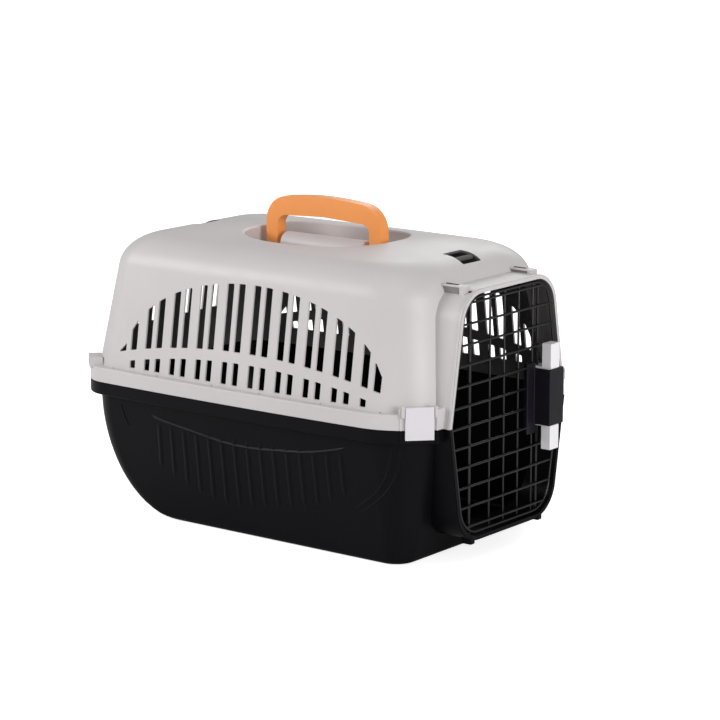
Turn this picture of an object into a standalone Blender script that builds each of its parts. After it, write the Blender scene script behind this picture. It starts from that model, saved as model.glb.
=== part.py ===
"""Pet transport carrier: two moulded shells, a wire door with a squeeze latch, a swing handle and corner clips.

Metres, +Z up. +X points out of the door, and the origin is the middle of the flat base, under the rim's centre.
"""
import math

import bmesh
import bpy
from mathutils import Matrix, Vector

# Shared clearances and walls
GAP = 0.0003
WALL = 0.0025
CUT = 0.020

# Rim where the two shells meet
SEAM_Z = 0.1535
RIM_HALF_LENGTH = 0.2425
RIM_HALF_WIDTH = 0.156
RIM_CORNER_REAR = 0.040
RIM_CORNER_FRONT = 0.072
RIM_BOW = 0.006
FLANGE_REACH = 0.010
FLANGE_BOTTOM_Z = 0.139
FLANGE_TOP_Z = 0.1705
FLANGE_SKIN = 0.003
WALL_CORNER_REAR = 0.033
WALL_CORNER_FRONT = 0.057

# Lower shell
BASE_FRONT_X = 0.203
BASE_HALF_WIDTH = 0.1315
BASE_CORNER = 0.023
BASE_EDGE = 0.005
REAR_CURVE_X = -0.127
REAR_CURVE_REACH = 0.1045
REAR_CURVE_RISE = 0.130
TUB_LEVELS = (0.012, 0.024, 0.040, 0.060, 0.085, 0.110, 0.130)

# Upper shell
UPPER_LEAN = 0.148
ROOF_EDGE_Z = 0.3205
ROOF_CROWN_Z = 0.3250
ROOF_ROUNDING = 0.040
ROOF_CORNER_SHRINK = 0.05
ROOF_CORNER_SHARE = 0.55
UPPER_LEVELS = (0.200, 0.238)
CROWN_INSETS = ((0.075, 0.55), (0.110, 1.0))

# Side vents: paired columns under a dome, split by a curved band
VENT_PAIR_PITCH = 0.0381
VENT_PAIRS = 10
VENT_PAIR_HALF = 0.008
VENT_WIDTH = 0.010
LOWER_VENT_WIDTH = 0.0086
DOME_MIDDLE_X = 0.006
DOME_HALF_LENGTH = 0.182
DOME_BASE_Z = 0.188
DOME_RISE = 0.097
BAND_TOP_Z = 0.210
BAND_BOTTOM_Z = 0.1983
BAND_DROP = 0.0006
VENT_SILL_Z = 0.1735
VENT_LEAST = 0.001
REAR_VENT_Y = (-0.0675, -0.041, -0.015, 0.015, 0.041, 0.0675)
REAR_VENT_X = (-0.250, -0.190)
REAR_VENT_BOTTOM_Z = 0.205
REAR_VENT_TOP_Z = 0.273
REAR_VENT_DROP = 0.012

# Handle pocket in the roof
POCKET_HALF_LENGTH = 0.093
POCKET_HALF_WIDTH = 0.074
POCKET_FLOOR_Z = 0.293
POCKET_POWER = 2.6
RIDGE_HALF_LENGTH = 0.058
RIDGE_HALF_WIDTH = 0.013
RIDGE_TOP_Z = 0.3215

# Handle
PIVOT_Z = 0.302
LEG_OUTER_X = 0.0815
LEG_INNER_X = 0.0655
HANDLE_HALF_THICK = 0.0075
HANDLE_SHOULDER_Z = 0.3600
HANDLE_TOP_Z = 0.3678
HANDLE_CORNER = 0.030
GRIP_UNDER_Z = 0.3435
GRIP_UNDER_SIDE_Z = 0.3405
GRIP_INNER_CORNER = 0.012
PIN_RADIUS = 0.003
PIN_HEAD_RADIUS = 0.0048
PIN_HEAD = 0.002

# Strap slots in the roof
STRAP_X = 0.186
STRAP_HALF_X = 0.0140
STRAP_HALF_Y = 0.0170
STRAP_BAR_RADIUS = 0.0027
STRAP_BAR_Z = 0.3150

# Door collar, an outline in Y and Z
COLLAR_FRONT_X = 0.250
COLLAR_ROOT_X = 0.180
COLLAR_LIP = 0.004
OPENING_BOTTOM_Z = 0.027
OPENING_TOP_Z = 0.292
OPENING_BOTTOM_HALF = 0.0835
OPENING_SEAM_HALF = 0.1055
OPENING_TOP_HALF = 0.0808
OPENING_BOTTOM_RADIUS = 0.036
OPENING_TOP_RADIUS = 0.034

# Door wires
WIRE_RADIUS = 0.0013
WIRE_FRONT_X = 0.2465
WIRE_BACK_X = WIRE_FRONT_X - 2.0 * WIRE_RADIUS - GAP
FRAME_INSET = 0.0038
CROSS_WIRES = 12
CROSS_FIRST_Z = 0.039
CROSS_PITCH = 0.0222
UPRIGHTS = 4
UPRIGHT_FIRST_Y = -0.0280
UPRIGHT_PITCH = 0.0270

# Hinge rod, and the latch's bolts
ROD_RADIUS = 0.002
ROD_X = WIRE_FRONT_X - WIRE_RADIUS - GAP - ROD_RADIUS
HINGE_Y = -0.0645
BOLT_Y = 0.0635
BOLT_RADIUS = 0.0018
BOLT_SHORT = 0.0008
HORN_Y = (-0.0665, 0.0610)
HORN_HALF_Y = 0.006
HORN_X = (0.205, 0.240)
HORN_Z = (0.272, 0.303)
FOOT_Y = (-0.0660, 0.0625)
FOOT_HALF_Y = 0.004
FOOT_X = (0.2375, 0.2505)
FOOT_Z = (0.0195, 0.045)
SOCKET_TOP_Z = 0.295
SOCKET_BOTTOM_Z = 0.0225

# Latch
LATCH_Y = (0.0525, 0.0800)
LATCH_Z = (0.130, 0.193)
LATCH_X = (0.2385, 0.2680)
LATCH_SKIN = 0.002
WING_Y = 0.0390
WING_Z = (0.120, 0.199)
PLATE_X = (0.2350, 0.2382)
PLATE_Y = (0.0500, 0.0845)
PLATE_Z = (0.122, 0.197)
TAB_Y = (0.0555, 0.0725)
TAB_STEM_X = (0.2388, 0.2655)
TAB_HEAD_X = (0.2550, 0.2670)
TOP_TAB_Z = (0.168, 0.221)
BOTTOM_TAB_Z = (0.1025, 0.150)
TOP_STEM_END_Z = 0.1945
BOTTOM_STEM_END_Z = 0.1285
HEAD_GAP = 0.0005
BOLT_SEAT = 0.014
SPRING_RADIUS = 0.005
SPRING_WIRE = 0.0006
SPRING_TURNS = 5
SPRING_X = 0.254
SPRING_Y = 0.064

# Corner clips, in a frame whose first axis points out of the corner from the rim's arc centre
FRONT_CENTRE = (0.1875, 0.0925)
REAR_CENTRE = (-0.2025, 0.1165)
PAD_N = (0.034, 0.0550)
PAD_HALF_T = 0.021
PAD_TOP_Z = 0.1765
STEP_FRONT_X = 0.2415
STEP_Y = (0.1000, 0.1200)
EAR_N = (0.0520, 0.0595)
EAR_T = (0.0159, 0.0195)
EAR_Z = (0.168, 0.1805)
CLIP_N = (0.0554, 0.0590)
CLIP_HALF_T = 0.0153
CLIP_BOTTOM_Z = 0.144
CLIP_PIVOT_Z = 0.1775
CLIP_LIP_N = 0.0526
CLIP_LIP_HALF_T = 0.013
CLIP_LIP_Z = (0.1454, 0.1480)
CATCH_N = 0.0520
CATCH_SLACK = 0.001
CLIP_PIN_RADIUS = 0.0009

# Rear hook towers, in the same kind of corner frame
TOWER_N = (0.026, 0.0415)
TOWER_HALF_T = 0.015
TOWER_TOP_Z = 0.1795
HOOK_N = (0.0345, 0.0385)
HOOK_HALF_T = 0.0080
HOOK_TOP_Z = 0.1766
HOOK_SLACK = 0.0005
WINDOW_Z = 0.1700

CORNER_STEPS = 6
SIDE_STEPS = 4
ARC_STEPS = 6


def material(name, colour, roughness, metallic=0.0):
    """Return the named plain material, made once."""
    found = bpy.data.materials.get(name)
    if found:
        return found
    made = bpy.data.materials.new(name)
    made.use_nodes = True
    shader = made.node_tree.nodes["Principled BSDF"]
    shader.inputs["Base Color"].default_value = (*colour, 1.0)
    shader.inputs["Roughness"].default_value = roughness
    shader.inputs["Metallic"].default_value = metallic
    return made


def pale_shell():
    return material("pale_shell", (0.62, 0.60, 0.58), 0.45)


def black_shell():
    return material("black_shell", (0.012, 0.012, 0.015), 0.38)


def orange_handle():
    return material("orange_handle", (0.86, 0.32, 0.08), 0.42)


def white_clip():
    return material("white_clip", (0.74, 0.72, 0.77), 0.40)


def black_latch():
    return material("black_latch", (0.020, 0.018, 0.024), 0.40)


def coated_wire():
    return material("coated_wire", (0.020, 0.020, 0.022), 0.35, 0.2)


def bright_steel():
    return material("bright_steel", (0.45, 0.45, 0.46), 0.30, 1.0)


def finish_object(name, bm, look=None):
    """Turn a bmesh into a named, smooth-shaded object with sharp creases."""
    bmesh.ops.remove_doubles(bm, verts=bm.verts, dist=1e-7)
    bmesh.ops.recalc_face_normals(bm, faces=bm.faces)
    mesh = bpy.data.meshes.new(name)
    bm.to_mesh(mesh)
    bm.free()
    shade(mesh)
    made = bpy.data.objects.new(name, mesh)
    bpy.context.scene.collection.objects.link(made)
    if look:
        mesh.materials.append(look)
    return made


def shade(mesh):
    mesh.shade_smooth()
    mesh.set_sharp_from_angle(angle=math.radians(35.0))


def loft(name, rings, look=None):
    """Bridge rings of equal length into one closed body with a flat face at each end."""
    bm = bmesh.new()
    rows = [[bm.verts.new(point) for point in ring] for ring in rings]
    count = len(rows[0])
    for low, high in zip(rows, rows[1:]):
        for i in range(count):
            j = (i + 1) % count
            bm.faces.new((low[i], low[j], high[j], high[i]))
    bm.faces.new(rows[0])
    bm.faces.new(rows[-1])
    return finish_object(name, bm, look)


def box(name, x, y, z, look=None):
    """Box between pairs of coordinates."""
    ring = [(x[0], y[0]), (x[1], y[0]), (x[1], y[1]), (x[0], y[1])]
    return loft(name, [[(a, b, height) for a, b in ring] for height in z], look)


def prism_x(name, outline, x, look=None):
    """Solid with an outline in Y and Z, between two values of X."""
    return loft(name, [[(value, y, z) for y, z in outline] for value in x], look)


def prism_y(name, outline, y, look=None):
    """Solid with an outline in X and Z, between two values of Y."""
    return loft(name, [[(x, value, z) for x, z in outline] for value in y], look)


def rod(name, start, end, radius, look=None, sides=12):
    """Straight round bar between two points."""
    start, end = Vector(start), Vector(end)
    turn = (end - start).to_track_quat("Z", "Y").to_matrix()
    rings = []
    for centre in (start, end):
        angles = (2.0 * math.pi * k / sides for k in range(sides))
        rings.append([centre + turn @ Vector((radius * math.cos(a), radius * math.sin(a), 0)) for a in angles])
    return loft(name, rings, look)


def combine(target, tool, operation):
    """Apply one exact Boolean to the target and remove the tool."""
    step = target.modifiers.new(operation.lower(), "BOOLEAN")
    step.operation = operation
    step.solver = "EXACT"
    step.object = tool
    graph = bpy.context.evaluated_depsgraph_get()
    mesh = bpy.data.meshes.new_from_object(target.evaluated_get(graph))
    target.modifiers.remove(step)
    target.data = mesh
    bpy.data.objects.remove(tool)


def join(target, *tools):
    for tool in tools:
        combine(target, tool, "UNION")


def cut(target, *tools):
    for tool in tools:
        combine(target, tool, "DIFFERENCE")


def clean(target):
    """Merge coincident points after the Booleans and shade the result."""
    bm = bmesh.new()
    bm.from_mesh(target.data)
    bmesh.ops.remove_doubles(bm, verts=bm.verts, dist=2e-6)
    bmesh.ops.dissolve_degenerate(bm, edges=bm.edges, dist=2e-6)
    bm.to_mesh(target.data)
    bm.free()
    shade(target.data)


def place(target, frame):
    """Carry an object's mesh through a matrix."""
    target.data.transform(frame)
    return target


def set_origin(target, point):
    """Move the object's origin to a point, leaving its mesh where it is."""
    target.data.transform(Matrix.Translation(-Vector(point)))
    target.location = point


def rounded_polygon(corners, steps=ARC_STEPS):
    """Outline through corners of the form (a, b, radius), each rounded by an arc."""
    points = []
    for i, (a, b, radius) in enumerate(corners):
        here = Vector((a, b))
        if radius == 0.0:
            points.append((a, b))
            continue
        before = Vector(corners[i - 1][:2]) - here
        after = Vector(corners[(i + 1) % len(corners)][:2]) - here
        before.normalize()
        after.normalize()
        half = 0.5 * before.angle(after)
        centre = here + (before + after).normalized() * (radius / math.sin(half))
        first = here + before * (radius / math.tan(half)) - centre
        last = here + after * (radius / math.tan(half)) - centre
        sweep = first.angle_signed(last)
        for step in range(steps + 1):
            points.append(tuple(centre + Matrix.Rotation(-sweep * step / steps, 2) @ first))
    return points


def plan_ring(x_rear, x_front, half_width, radius_rear, radius_front, bow, z):
    """Rounded rectangle at height z whose long sides bow outwards."""
    corners = (
        (x_front - radius_front, half_width - radius_front, radius_front, 0.0),
        (x_rear + radius_rear, half_width - radius_rear, radius_rear, 90.0),
        (x_rear + radius_rear, radius_rear - half_width, radius_rear, 180.0),
        (x_front - radius_front, radius_front - half_width, radius_front, 270.0),
    )
    flat = []
    for i, (cx, cy, radius, start) in enumerate(corners):
        for step in range(CORNER_STEPS + 1):
            angle = math.radians(start + 90.0 * step / CORNER_STEPS)
            flat.append((cx + radius * math.cos(angle), cy + radius * math.sin(angle)))
        nx, ny, next_radius, next_start = corners[(i + 1) % 4]
        angle = math.radians(next_start)
        following = (nx + next_radius * math.cos(angle), ny + next_radius * math.sin(angle))
        here = flat[-1]
        for step in range(1, SIDE_STEPS):
            share = step / SIDE_STEPS
            flat.append(tuple(p + (q - p) * share for p, q in zip(here, following)))
    middle = 0.5 * (x_rear + x_front)
    half_length = 0.5 * (x_front - x_rear)
    ring = []
    for x, y in flat:
        swell = bow * (1.0 - ((x - middle) / half_length) ** 2) / half_width
        ring.append((x, y * (1.0 + swell), z))
    return ring


def rim_ring(inset, z):
    return plan_ring(
        inset - RIM_HALF_LENGTH, RIM_HALF_LENGTH - inset, RIM_HALF_WIDTH - inset,
        RIM_CORNER_REAR - inset, RIM_CORNER_FRONT - inset, RIM_BOW, z)


def tub_ring(z, inset, skin=0.0):
    """Section of the lower shell: walls lean out, and the rear rises in one large curve."""
    wall_top = SEAM_Z - FLANGE_SKIN
    share = min(z, wall_top) / wall_top
    half_length = RIM_HALF_LENGTH - FLANGE_REACH
    x_front = BASE_FRONT_X + (half_length - BASE_FRONT_X) * share
    half_width = BASE_HALF_WIDTH + (RIM_HALF_WIDTH - FLANGE_REACH - BASE_HALF_WIDTH) * share
    rear = BASE_CORNER + (WALL_CORNER_REAR - BASE_CORNER) * share - 0.5 * inset
    front = BASE_CORNER + (WALL_CORNER_FRONT - BASE_CORNER) * share - 0.5 * inset
    depth = max(0.0, (REAR_CURVE_RISE - z) / (REAR_CURVE_RISE - skin))
    reach = (REAR_CURVE_REACH - skin) * math.sqrt(max(0.0, 1.0 - depth * depth))
    return plan_ring(
        REAR_CURVE_X - reach + inset - skin, x_front - inset, half_width - inset,
        rear, front, RIM_BOW * share, z)


def upper_ring(inset, z):
    half_length = RIM_HALF_LENGTH - FLANGE_REACH - inset
    half_width = RIM_HALF_WIDTH - FLANGE_REACH - inset
    rear, front = (min(corner - ROOF_CORNER_SHRINK * inset, ROOF_CORNER_SHARE * half_width)
                   for corner in (WALL_CORNER_REAR, WALL_CORNER_FRONT))
    return plan_ring(-half_length, half_length, half_width, rear, front, RIM_BOW, z)


def upper_profile(skin):
    """Insets and heights of the upper wall, its rounded shoulder and the crowned roof."""
    lean = math.atan(UPPER_LEAN)
    centre_z = ROOF_EDGE_Z - ROOF_ROUNDING
    tangent_z = centre_z + ROOF_ROUNDING * math.sin(lean)
    centre_inset = UPPER_LEAN * (tangent_z - FLANGE_TOP_Z) + ROOF_ROUNDING * math.cos(lean)
    profile = [(UPPER_LEAN * (z - FLANGE_TOP_Z) + skin, z) for z in (FLANGE_TOP_Z, *UPPER_LEVELS)]
    last_angle = math.radians(84.0)
    for step in range(ARC_STEPS + 1):
        angle = lean + (last_angle - lean) * step / ARC_STEPS
        radius = ROOF_ROUNDING - skin
        profile.append((centre_inset - radius * math.cos(angle), centre_z + radius * math.sin(angle)))
    for inset, rise in CROWN_INSETS:
        profile.append((inset, ROOF_EDGE_Z + (ROOF_CROWN_Z - ROOF_EDGE_Z) * rise - skin))
    return profile


def collar_outline(lip, half):
    """Door opening grown by a lip. half is 'lower', 'upper' or 'whole'."""
    seam_half = OPENING_SEAM_HALF + lip
    bottom = (OPENING_BOTTOM_HALF + lip, OPENING_BOTTOM_Z - lip, OPENING_BOTTOM_RADIUS + lip)
    top = (OPENING_TOP_HALF + lip, OPENING_TOP_Z + lip, OPENING_TOP_RADIUS + lip)
    if half == "lower":
        corners = [bottom, (seam_half, SEAM_Z - 0.5 * GAP, 0.0)]
    elif half == "upper":
        corners = [(seam_half, SEAM_Z + 0.5 * GAP, 0.0), top]
    else:
        corners = [bottom, (seam_half, SEAM_Z, 0.0), top]
    mirrored = [(-a, b, radius) for a, b, radius in reversed(corners)]
    return rounded_polygon(corners + mirrored)


def edge_crossing(outline, value, axis):
    """Other coordinates where the outline crosses a line of constant Y (axis 0) or Z (axis 1)."""
    found = []
    for i, first in enumerate(outline):
        second = outline[(i + 1) % len(outline)]
        low, high = first[axis] - value, second[axis] - value
        if low * high <= 0.0 and low != high:
            share = low / (low - high)
            found.append(first[1 - axis] + (second[1 - axis] - first[1 - axis]) * share)
    return found


def opening_prism():
    return prism_x("opening", collar_outline(0.0, "whole"), (COLLAR_ROOT_X - CUT, COLLAR_FRONT_X + CUT))


def corner_frame(front, side):
    """Frame at the centre of a rim corner's arc, its first axis pointing out of the corner."""
    heading = math.atan2(side, 1.0 if front else -1.0)
    turn = Matrix.Rotation(heading, 4, "Z")
    x, y = FRONT_CENTRE if front else REAR_CENTRE
    return Matrix.Translation((x, side * y, 0.0)) @ turn


def at_corner(frame, n, half_t, z):
    return place(box("block", n, (-half_t, half_t), z), frame)


def corner_step(side, z):
    """Block that carries the flange from a clip's pad to the door collar."""
    return box("step", (FRONT_CENTRE[0], STEP_FRONT_X), sorted(side * y for y in STEP_Y), z)


def make_lower_shell():
    rings = [tub_ring(0.0, BASE_EDGE), tub_ring(0.3 * BASE_EDGE, 0.35 * BASE_EDGE), tub_ring(BASE_EDGE, 0.0)]
    rings += [tub_ring(z, 0.0) for z in (*TUB_LEVELS, SEAM_Z - FLANGE_SKIN)]
    rings.append(rim_ring(FLANGE_SKIN, SEAM_Z - FLANGE_SKIN))
    rings.append(rim_ring(FLANGE_SKIN, FLANGE_BOTTOM_Z))
    rings.append(rim_ring(0.0, FLANGE_BOTTOM_Z))
    rings.append(rim_ring(0.0, SEAM_Z - 0.5 * GAP))
    shell = loft("lower_shell", rings, black_shell())
    join(shell, prism_x("collar", collar_outline(COLLAR_LIP, "lower"), (COLLAR_ROOT_X, COLLAR_FRONT_X)))
    for y in FOOT_Y:
        join(shell, box("foot", FOOT_X, (y - FOOT_HALF_Y, y + FOOT_HALF_Y), FOOT_Z))
    for side in (-1, 1):
        corner = corner_frame(True, side)
        low = (FLANGE_BOTTOM_Z, SEAM_Z - 0.5 * GAP)
        join(shell, at_corner(corner, PAD_N, PAD_HALF_T, low), corner_step(side, low))
    cut(shell, make_tub_cavity(), opening_prism())
    for side in (-1, 1):
        corner = corner_frame(True, side)
        catch_z = (CLIP_LIP_Z[0] - CATCH_SLACK, CLIP_LIP_Z[1] + CATCH_SLACK)
        cut(shell, at_corner(corner, (CATCH_N, PAD_N[1] + CUT), CLIP_LIP_HALF_T + CATCH_SLACK, catch_z))
        join(shell, at_corner(corner_frame(False, side), HOOK_N, HOOK_HALF_T, (FLANGE_BOTTOM_Z, HOOK_TOP_Z)))
    for y in (HINGE_Y, BOLT_Y):
        cut(shell, rod("socket", (ROD_X, y, SOCKET_BOTTOM_Z), (ROD_X, y, SEAM_Z), ROD_RADIUS + GAP))
    clean(shell)
    return shell


def make_tub_cavity():
    rings = [tub_ring(WALL, WALL + BASE_EDGE, WALL), tub_ring(WALL + 0.3 * BASE_EDGE, 1.35 * WALL, WALL)]
    rings += [tub_ring(z, WALL, WALL) for z in (*TUB_LEVELS, SEAM_Z - FLANGE_SKIN)]
    top = [(x, y, SEAM_Z + CUT) for x, y, z in rings[-1]]
    return loft("cavity", rings + [top])


def make_upper_shell():
    under = FLANGE_TOP_Z - FLANGE_SKIN
    base = SEAM_Z + 0.5 * GAP
    rings = [upper_ring(0.0, base), upper_ring(0.0, under)]
    rings += [rim_ring(FLANGE_SKIN, under), rim_ring(FLANGE_SKIN, base), rim_ring(0.0, base)]
    rings.append(rim_ring(0.0, FLANGE_TOP_Z))
    rings += [upper_ring(inset, z) for inset, z in upper_profile(0.0)]
    shell = loft("upper_shell", rings, pale_shell())
    join(shell, prism_x("collar", collar_outline(COLLAR_LIP, "upper"), (COLLAR_ROOT_X, COLLAR_FRONT_X)))
    for y in HORN_Y:
        join(shell, box("horn", HORN_X, (y - HORN_HALF_Y, y + HORN_HALF_Y), HORN_Z))
    for side in (-1, 1):
        corner = corner_frame(True, side)
        high = (base, PAD_TOP_Z)
        join(shell, at_corner(corner, PAD_N, PAD_HALF_T, high), corner_step(side, high))
        for t in (-1, 1):
            ear_t = sorted((t * EAR_T[0], t * EAR_T[1]))
            join(shell, place(box("ear", EAR_N, ear_t, EAR_Z), corner))
        join(shell, at_corner(corner_frame(False, side), TOWER_N, TOWER_HALF_T, (under, TOWER_TOP_Z)))
    cut(shell, pocket("pocket", 0.0, POCKET_FLOOR_Z))
    cut(shell, make_upper_cavity(), opening_prism())
    join(shell, make_ridge())
    cut_vents(shell)
    cut_rear_vents(shell)
    cut_details(shell)
    clean(shell)
    return shell


def make_upper_cavity():
    rings = [upper_ring(WALL, SEAM_Z - CUT)]
    rings += [upper_ring(inset, z) for inset, z in upper_profile(WALL)]
    cavity = loft("cavity", rings)
    cut(cavity, pocket("pocket_wall", WALL, POCKET_FLOOR_Z - WALL))
    return cavity


def pocket(name, grow, floor):
    """Oval column that sinks the handle's pocket, or leaves the wall around it."""
    count = 40
    outline = []
    for k in range(count):
        angle = 2.0 * math.pi * k / count
        across, along = math.cos(angle), math.sin(angle)
        stretch = (abs(across) ** POCKET_POWER + abs(along) ** POCKET_POWER) ** (-1.0 / POCKET_POWER)
        outline.append(((POCKET_HALF_LENGTH + grow) * across * stretch,
                        (POCKET_HALF_WIDTH + grow) * along * stretch))
    return loft(name, [[(x, y, z) for x, y in outline] for z in (floor, ROOF_CROWN_Z + CUT)])


def make_ridge():
    """Half-round bar across the pocket that carries both handle pins."""
    low = POCKET_FLOOR_Z - 0.5 * WALL
    corner = RIDGE_HALF_WIDTH - GAP
    outline = rounded_polygon([
        (RIDGE_HALF_WIDTH, low, 0.0), (RIDGE_HALF_WIDTH, RIDGE_TOP_Z, corner),
        (-RIDGE_HALF_WIDTH, RIDGE_TOP_Z, corner), (-RIDGE_HALF_WIDTH, low, 0.0)])
    return prism_x("ridge", outline, (-RIDGE_HALF_LENGTH, RIDGE_HALF_LENGTH))


def vent_columns():
    """Centres of the vent columns, in pairs."""
    for k in range(VENT_PAIRS):
        middle = VENT_PAIR_PITCH * (k - 0.5 * (VENT_PAIRS - 1))
        yield middle - VENT_PAIR_HALF
        yield middle + VENT_PAIR_HALF


def dome_z(x):
    share = (x - DOME_MIDDLE_X) / DOME_HALF_LENGTH
    return DOME_BASE_Z + DOME_RISE * math.sqrt(max(0.0, 1.0 - share * share))


def band_z(x, middle_z):
    return middle_z - BAND_DROP * (x / 0.001) ** 2 * 0.001


def cut_vents(shell):
    """Cut each slot through both side walls at once."""
    across = (-RIM_HALF_WIDTH - CUT, RIM_HALF_WIDTH + CUT)
    columns = list(vent_columns())
    for x in columns:
        left, right = x - 0.5 * VENT_WIDTH, x + 0.5 * VENT_WIDTH
        low = [(edge, band_z(edge, BAND_TOP_Z)) for edge in (left, right)]
        high = [(edge, max(dome_z(edge), z + VENT_LEAST)) for edge, z in reversed(low)]
        cut(shell, prism_y("slot", low + high, across))
    for x in columns[1:-1]:
        left, right = x - 0.5 * LOWER_VENT_WIDTH, x + 0.5 * LOWER_VENT_WIDTH
        lower = [(left, VENT_SILL_Z), (right, VENT_SILL_Z),
                 (right, band_z(right, BAND_BOTTOM_Z)), (left, band_z(left, BAND_BOTTOM_Z))]
        cut(shell, prism_y("slot", lower, across))


def cut_rear_vents(shell):
    """Cut the rear wall's slots, whose tops follow a shallow arc."""
    outer = max(REAR_VENT_Y)
    for y in REAR_VENT_Y:
        top = REAR_VENT_TOP_Z - REAR_VENT_DROP * (y / outer) ** 2
        wide = (y - 0.5 * LOWER_VENT_WIDTH, y + 0.5 * LOWER_VENT_WIDTH)
        cut(shell, box("slot", REAR_VENT_X, wide, (REAR_VENT_BOTTOM_Z, top)))


def cut_details(shell):
    """Pin bores, bolt sockets, clip pin holes, hook slots and strap slots."""
    cut(shell, rod("bore", (-0.5 * POCKET_HALF_LENGTH, 0.0, PIVOT_Z), (-POCKET_HALF_LENGTH + CUT, 0.0, PIVOT_Z),
                   PIN_RADIUS + GAP))
    cut(shell, rod("bore", (0.5 * POCKET_HALF_LENGTH, 0.0, PIVOT_Z), (POCKET_HALF_LENGTH - CUT, 0.0, PIVOT_Z),
                   PIN_RADIUS + GAP))
    for y in (HINGE_Y, BOLT_Y):
        cut(shell, rod("socket", (ROD_X, y, SEAM_Z), (ROD_X, y, SOCKET_TOP_Z), ROD_RADIUS + GAP))
    for side in (-1, 1):
        reach = EAR_T[1] + CUT
        cut(shell, place(clip_axle("hole", reach, CLIP_PIN_RADIUS + GAP), corner_frame(True, side)))
        rear = corner_frame(False, side)
        slot_n = (HOOK_N[0] - HOOK_SLACK, HOOK_N[1] + HOOK_SLACK)
        slot_t = HOOK_HALF_T + HOOK_SLACK
        slot_z = (SEAM_Z - CUT, HOOK_TOP_Z + HOOK_SLACK)
        cut(shell, at_corner(rear, slot_n, slot_t, slot_z))
        window_n = (0.5 * (HOOK_N[0] + HOOK_N[1]), TOWER_N[1] + CUT)
        cut(shell, at_corner(rear, window_n, HOOK_HALF_T - HOOK_SLACK, (WINDOW_Z, HOOK_TOP_Z)))
    for end in (-1, 1):
        x = sorted((end * (STRAP_X - STRAP_HALF_X), end * (STRAP_X + STRAP_HALF_X)))
        cut(shell, box("strap", x, (-STRAP_HALF_Y, STRAP_HALF_Y), (ROOF_EDGE_Z - 2.0 * CUT, ROOF_EDGE_Z + CUT)))
        reach = STRAP_HALF_Y + 0.5 * WALL
        ends = [(end * STRAP_X, y, STRAP_BAR_Z) for y in (-reach, reach)]
        join(shell, rod("bar", *ends, STRAP_BAR_RADIUS, sides=8))


def clip_axle(name, reach, radius, look=None):
    middle = 0.5 * (CLIP_N[0] + CLIP_N[1])
    return rod(name, (middle, -reach, CLIP_PIVOT_Z), (middle, reach, CLIP_PIVOT_Z), radius, look)


def make_clip(name, side):
    """Swing clip: hinged on the upper pad's ears, its lip caught in the lower pad."""
    half = 0.5 * (CLIP_N[1] - CLIP_N[0])
    clip = box(name, CLIP_N, (-CLIP_HALF_T, CLIP_HALF_T), (CLIP_BOTTOM_Z, CLIP_PIVOT_Z), white_clip())
    join(clip, clip_axle("barrel", CLIP_HALF_T, half))
    lip_n = (CLIP_LIP_N, CLIP_N[0] + half)
    join(clip, box("lip", lip_n, (-CLIP_LIP_HALF_T, CLIP_LIP_HALF_T), CLIP_LIP_Z))
    cut(clip, clip_axle("bore", CLIP_HALF_T + CUT, CLIP_PIN_RADIUS + GAP))
    clean(clip)
    frame = corner_frame(True, side)
    place(clip, frame)
    set_origin(clip, frame @ Vector((CLIP_N[0] + half, 0.0, CLIP_PIVOT_Z)))


def make_clips():
    for side, word in ((-1, "left"), (1, "right")):
        make_clip("clip_" + word, side)
        pin = clip_axle("clip_pin_" + word, EAR_T[1] - GAP, CLIP_PIN_RADIUS, bright_steel())
        place(pin, corner_frame(True, side))


def make_handle():
    """Swing handle: an arched grip on two legs that turn about the pins."""
    outline = rounded_polygon([
        (LEG_OUTER_X, PIVOT_Z, 0.0), (LEG_OUTER_X, HANDLE_SHOULDER_Z, HANDLE_CORNER),
        (0.0, HANDLE_TOP_Z, 0.4), (-LEG_OUTER_X, HANDLE_SHOULDER_Z, HANDLE_CORNER),
        (-LEG_OUTER_X, PIVOT_Z, 0.0), (-LEG_INNER_X, PIVOT_Z, 0.0),
        (-LEG_INNER_X, GRIP_UNDER_SIDE_Z, GRIP_INNER_CORNER), (0.0, GRIP_UNDER_Z, 0.0),
        (LEG_INNER_X, GRIP_UNDER_SIDE_Z, GRIP_INNER_CORNER), (LEG_INNER_X, PIVOT_Z, 0.0)])
    handle = prism_y("handle", outline, (-HANDLE_HALF_THICK, HANDLE_HALF_THICK), orange_handle())
    for end in (-1, 1):
        x = (end * LEG_INNER_X, end * LEG_OUTER_X)
        join(handle, rod("knuckle", (x[0], 0.0, PIVOT_Z), (x[1], 0.0, PIVOT_Z), HANDLE_HALF_THICK, sides=16))
        bore = (end * (LEG_INNER_X - 0.5 * CUT), end * (LEG_OUTER_X + 0.5 * CUT))
        cut(handle, rod("bore", (bore[0], 0.0, PIVOT_Z), (bore[1], 0.0, PIVOT_Z), PIN_RADIUS + GAP))
    clean(handle)
    set_origin(handle, (0.0, 0.0, PIVOT_Z))


def make_handle_pins():
    """Headed pins from outside each leg into the ridge."""
    inner = 0.5 * POCKET_HALF_LENGTH + GAP
    outer = LEG_OUTER_X + GAP
    for end, word in ((-1, "rear"), (1, "front")):
        shank = (end * inner, 0.0, PIVOT_Z), (end * (outer + 0.5 * PIN_HEAD), 0.0, PIVOT_Z)
        pin = rod("handle_pin_" + word, *shank, PIN_RADIUS, bright_steel())
        head = (end * outer, 0.0, PIVOT_Z), (end * (outer + PIN_HEAD), 0.0, PIVOT_Z)
        join(pin, rod("head", *head, PIN_HEAD_RADIUS))
        clean(pin)


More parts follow.
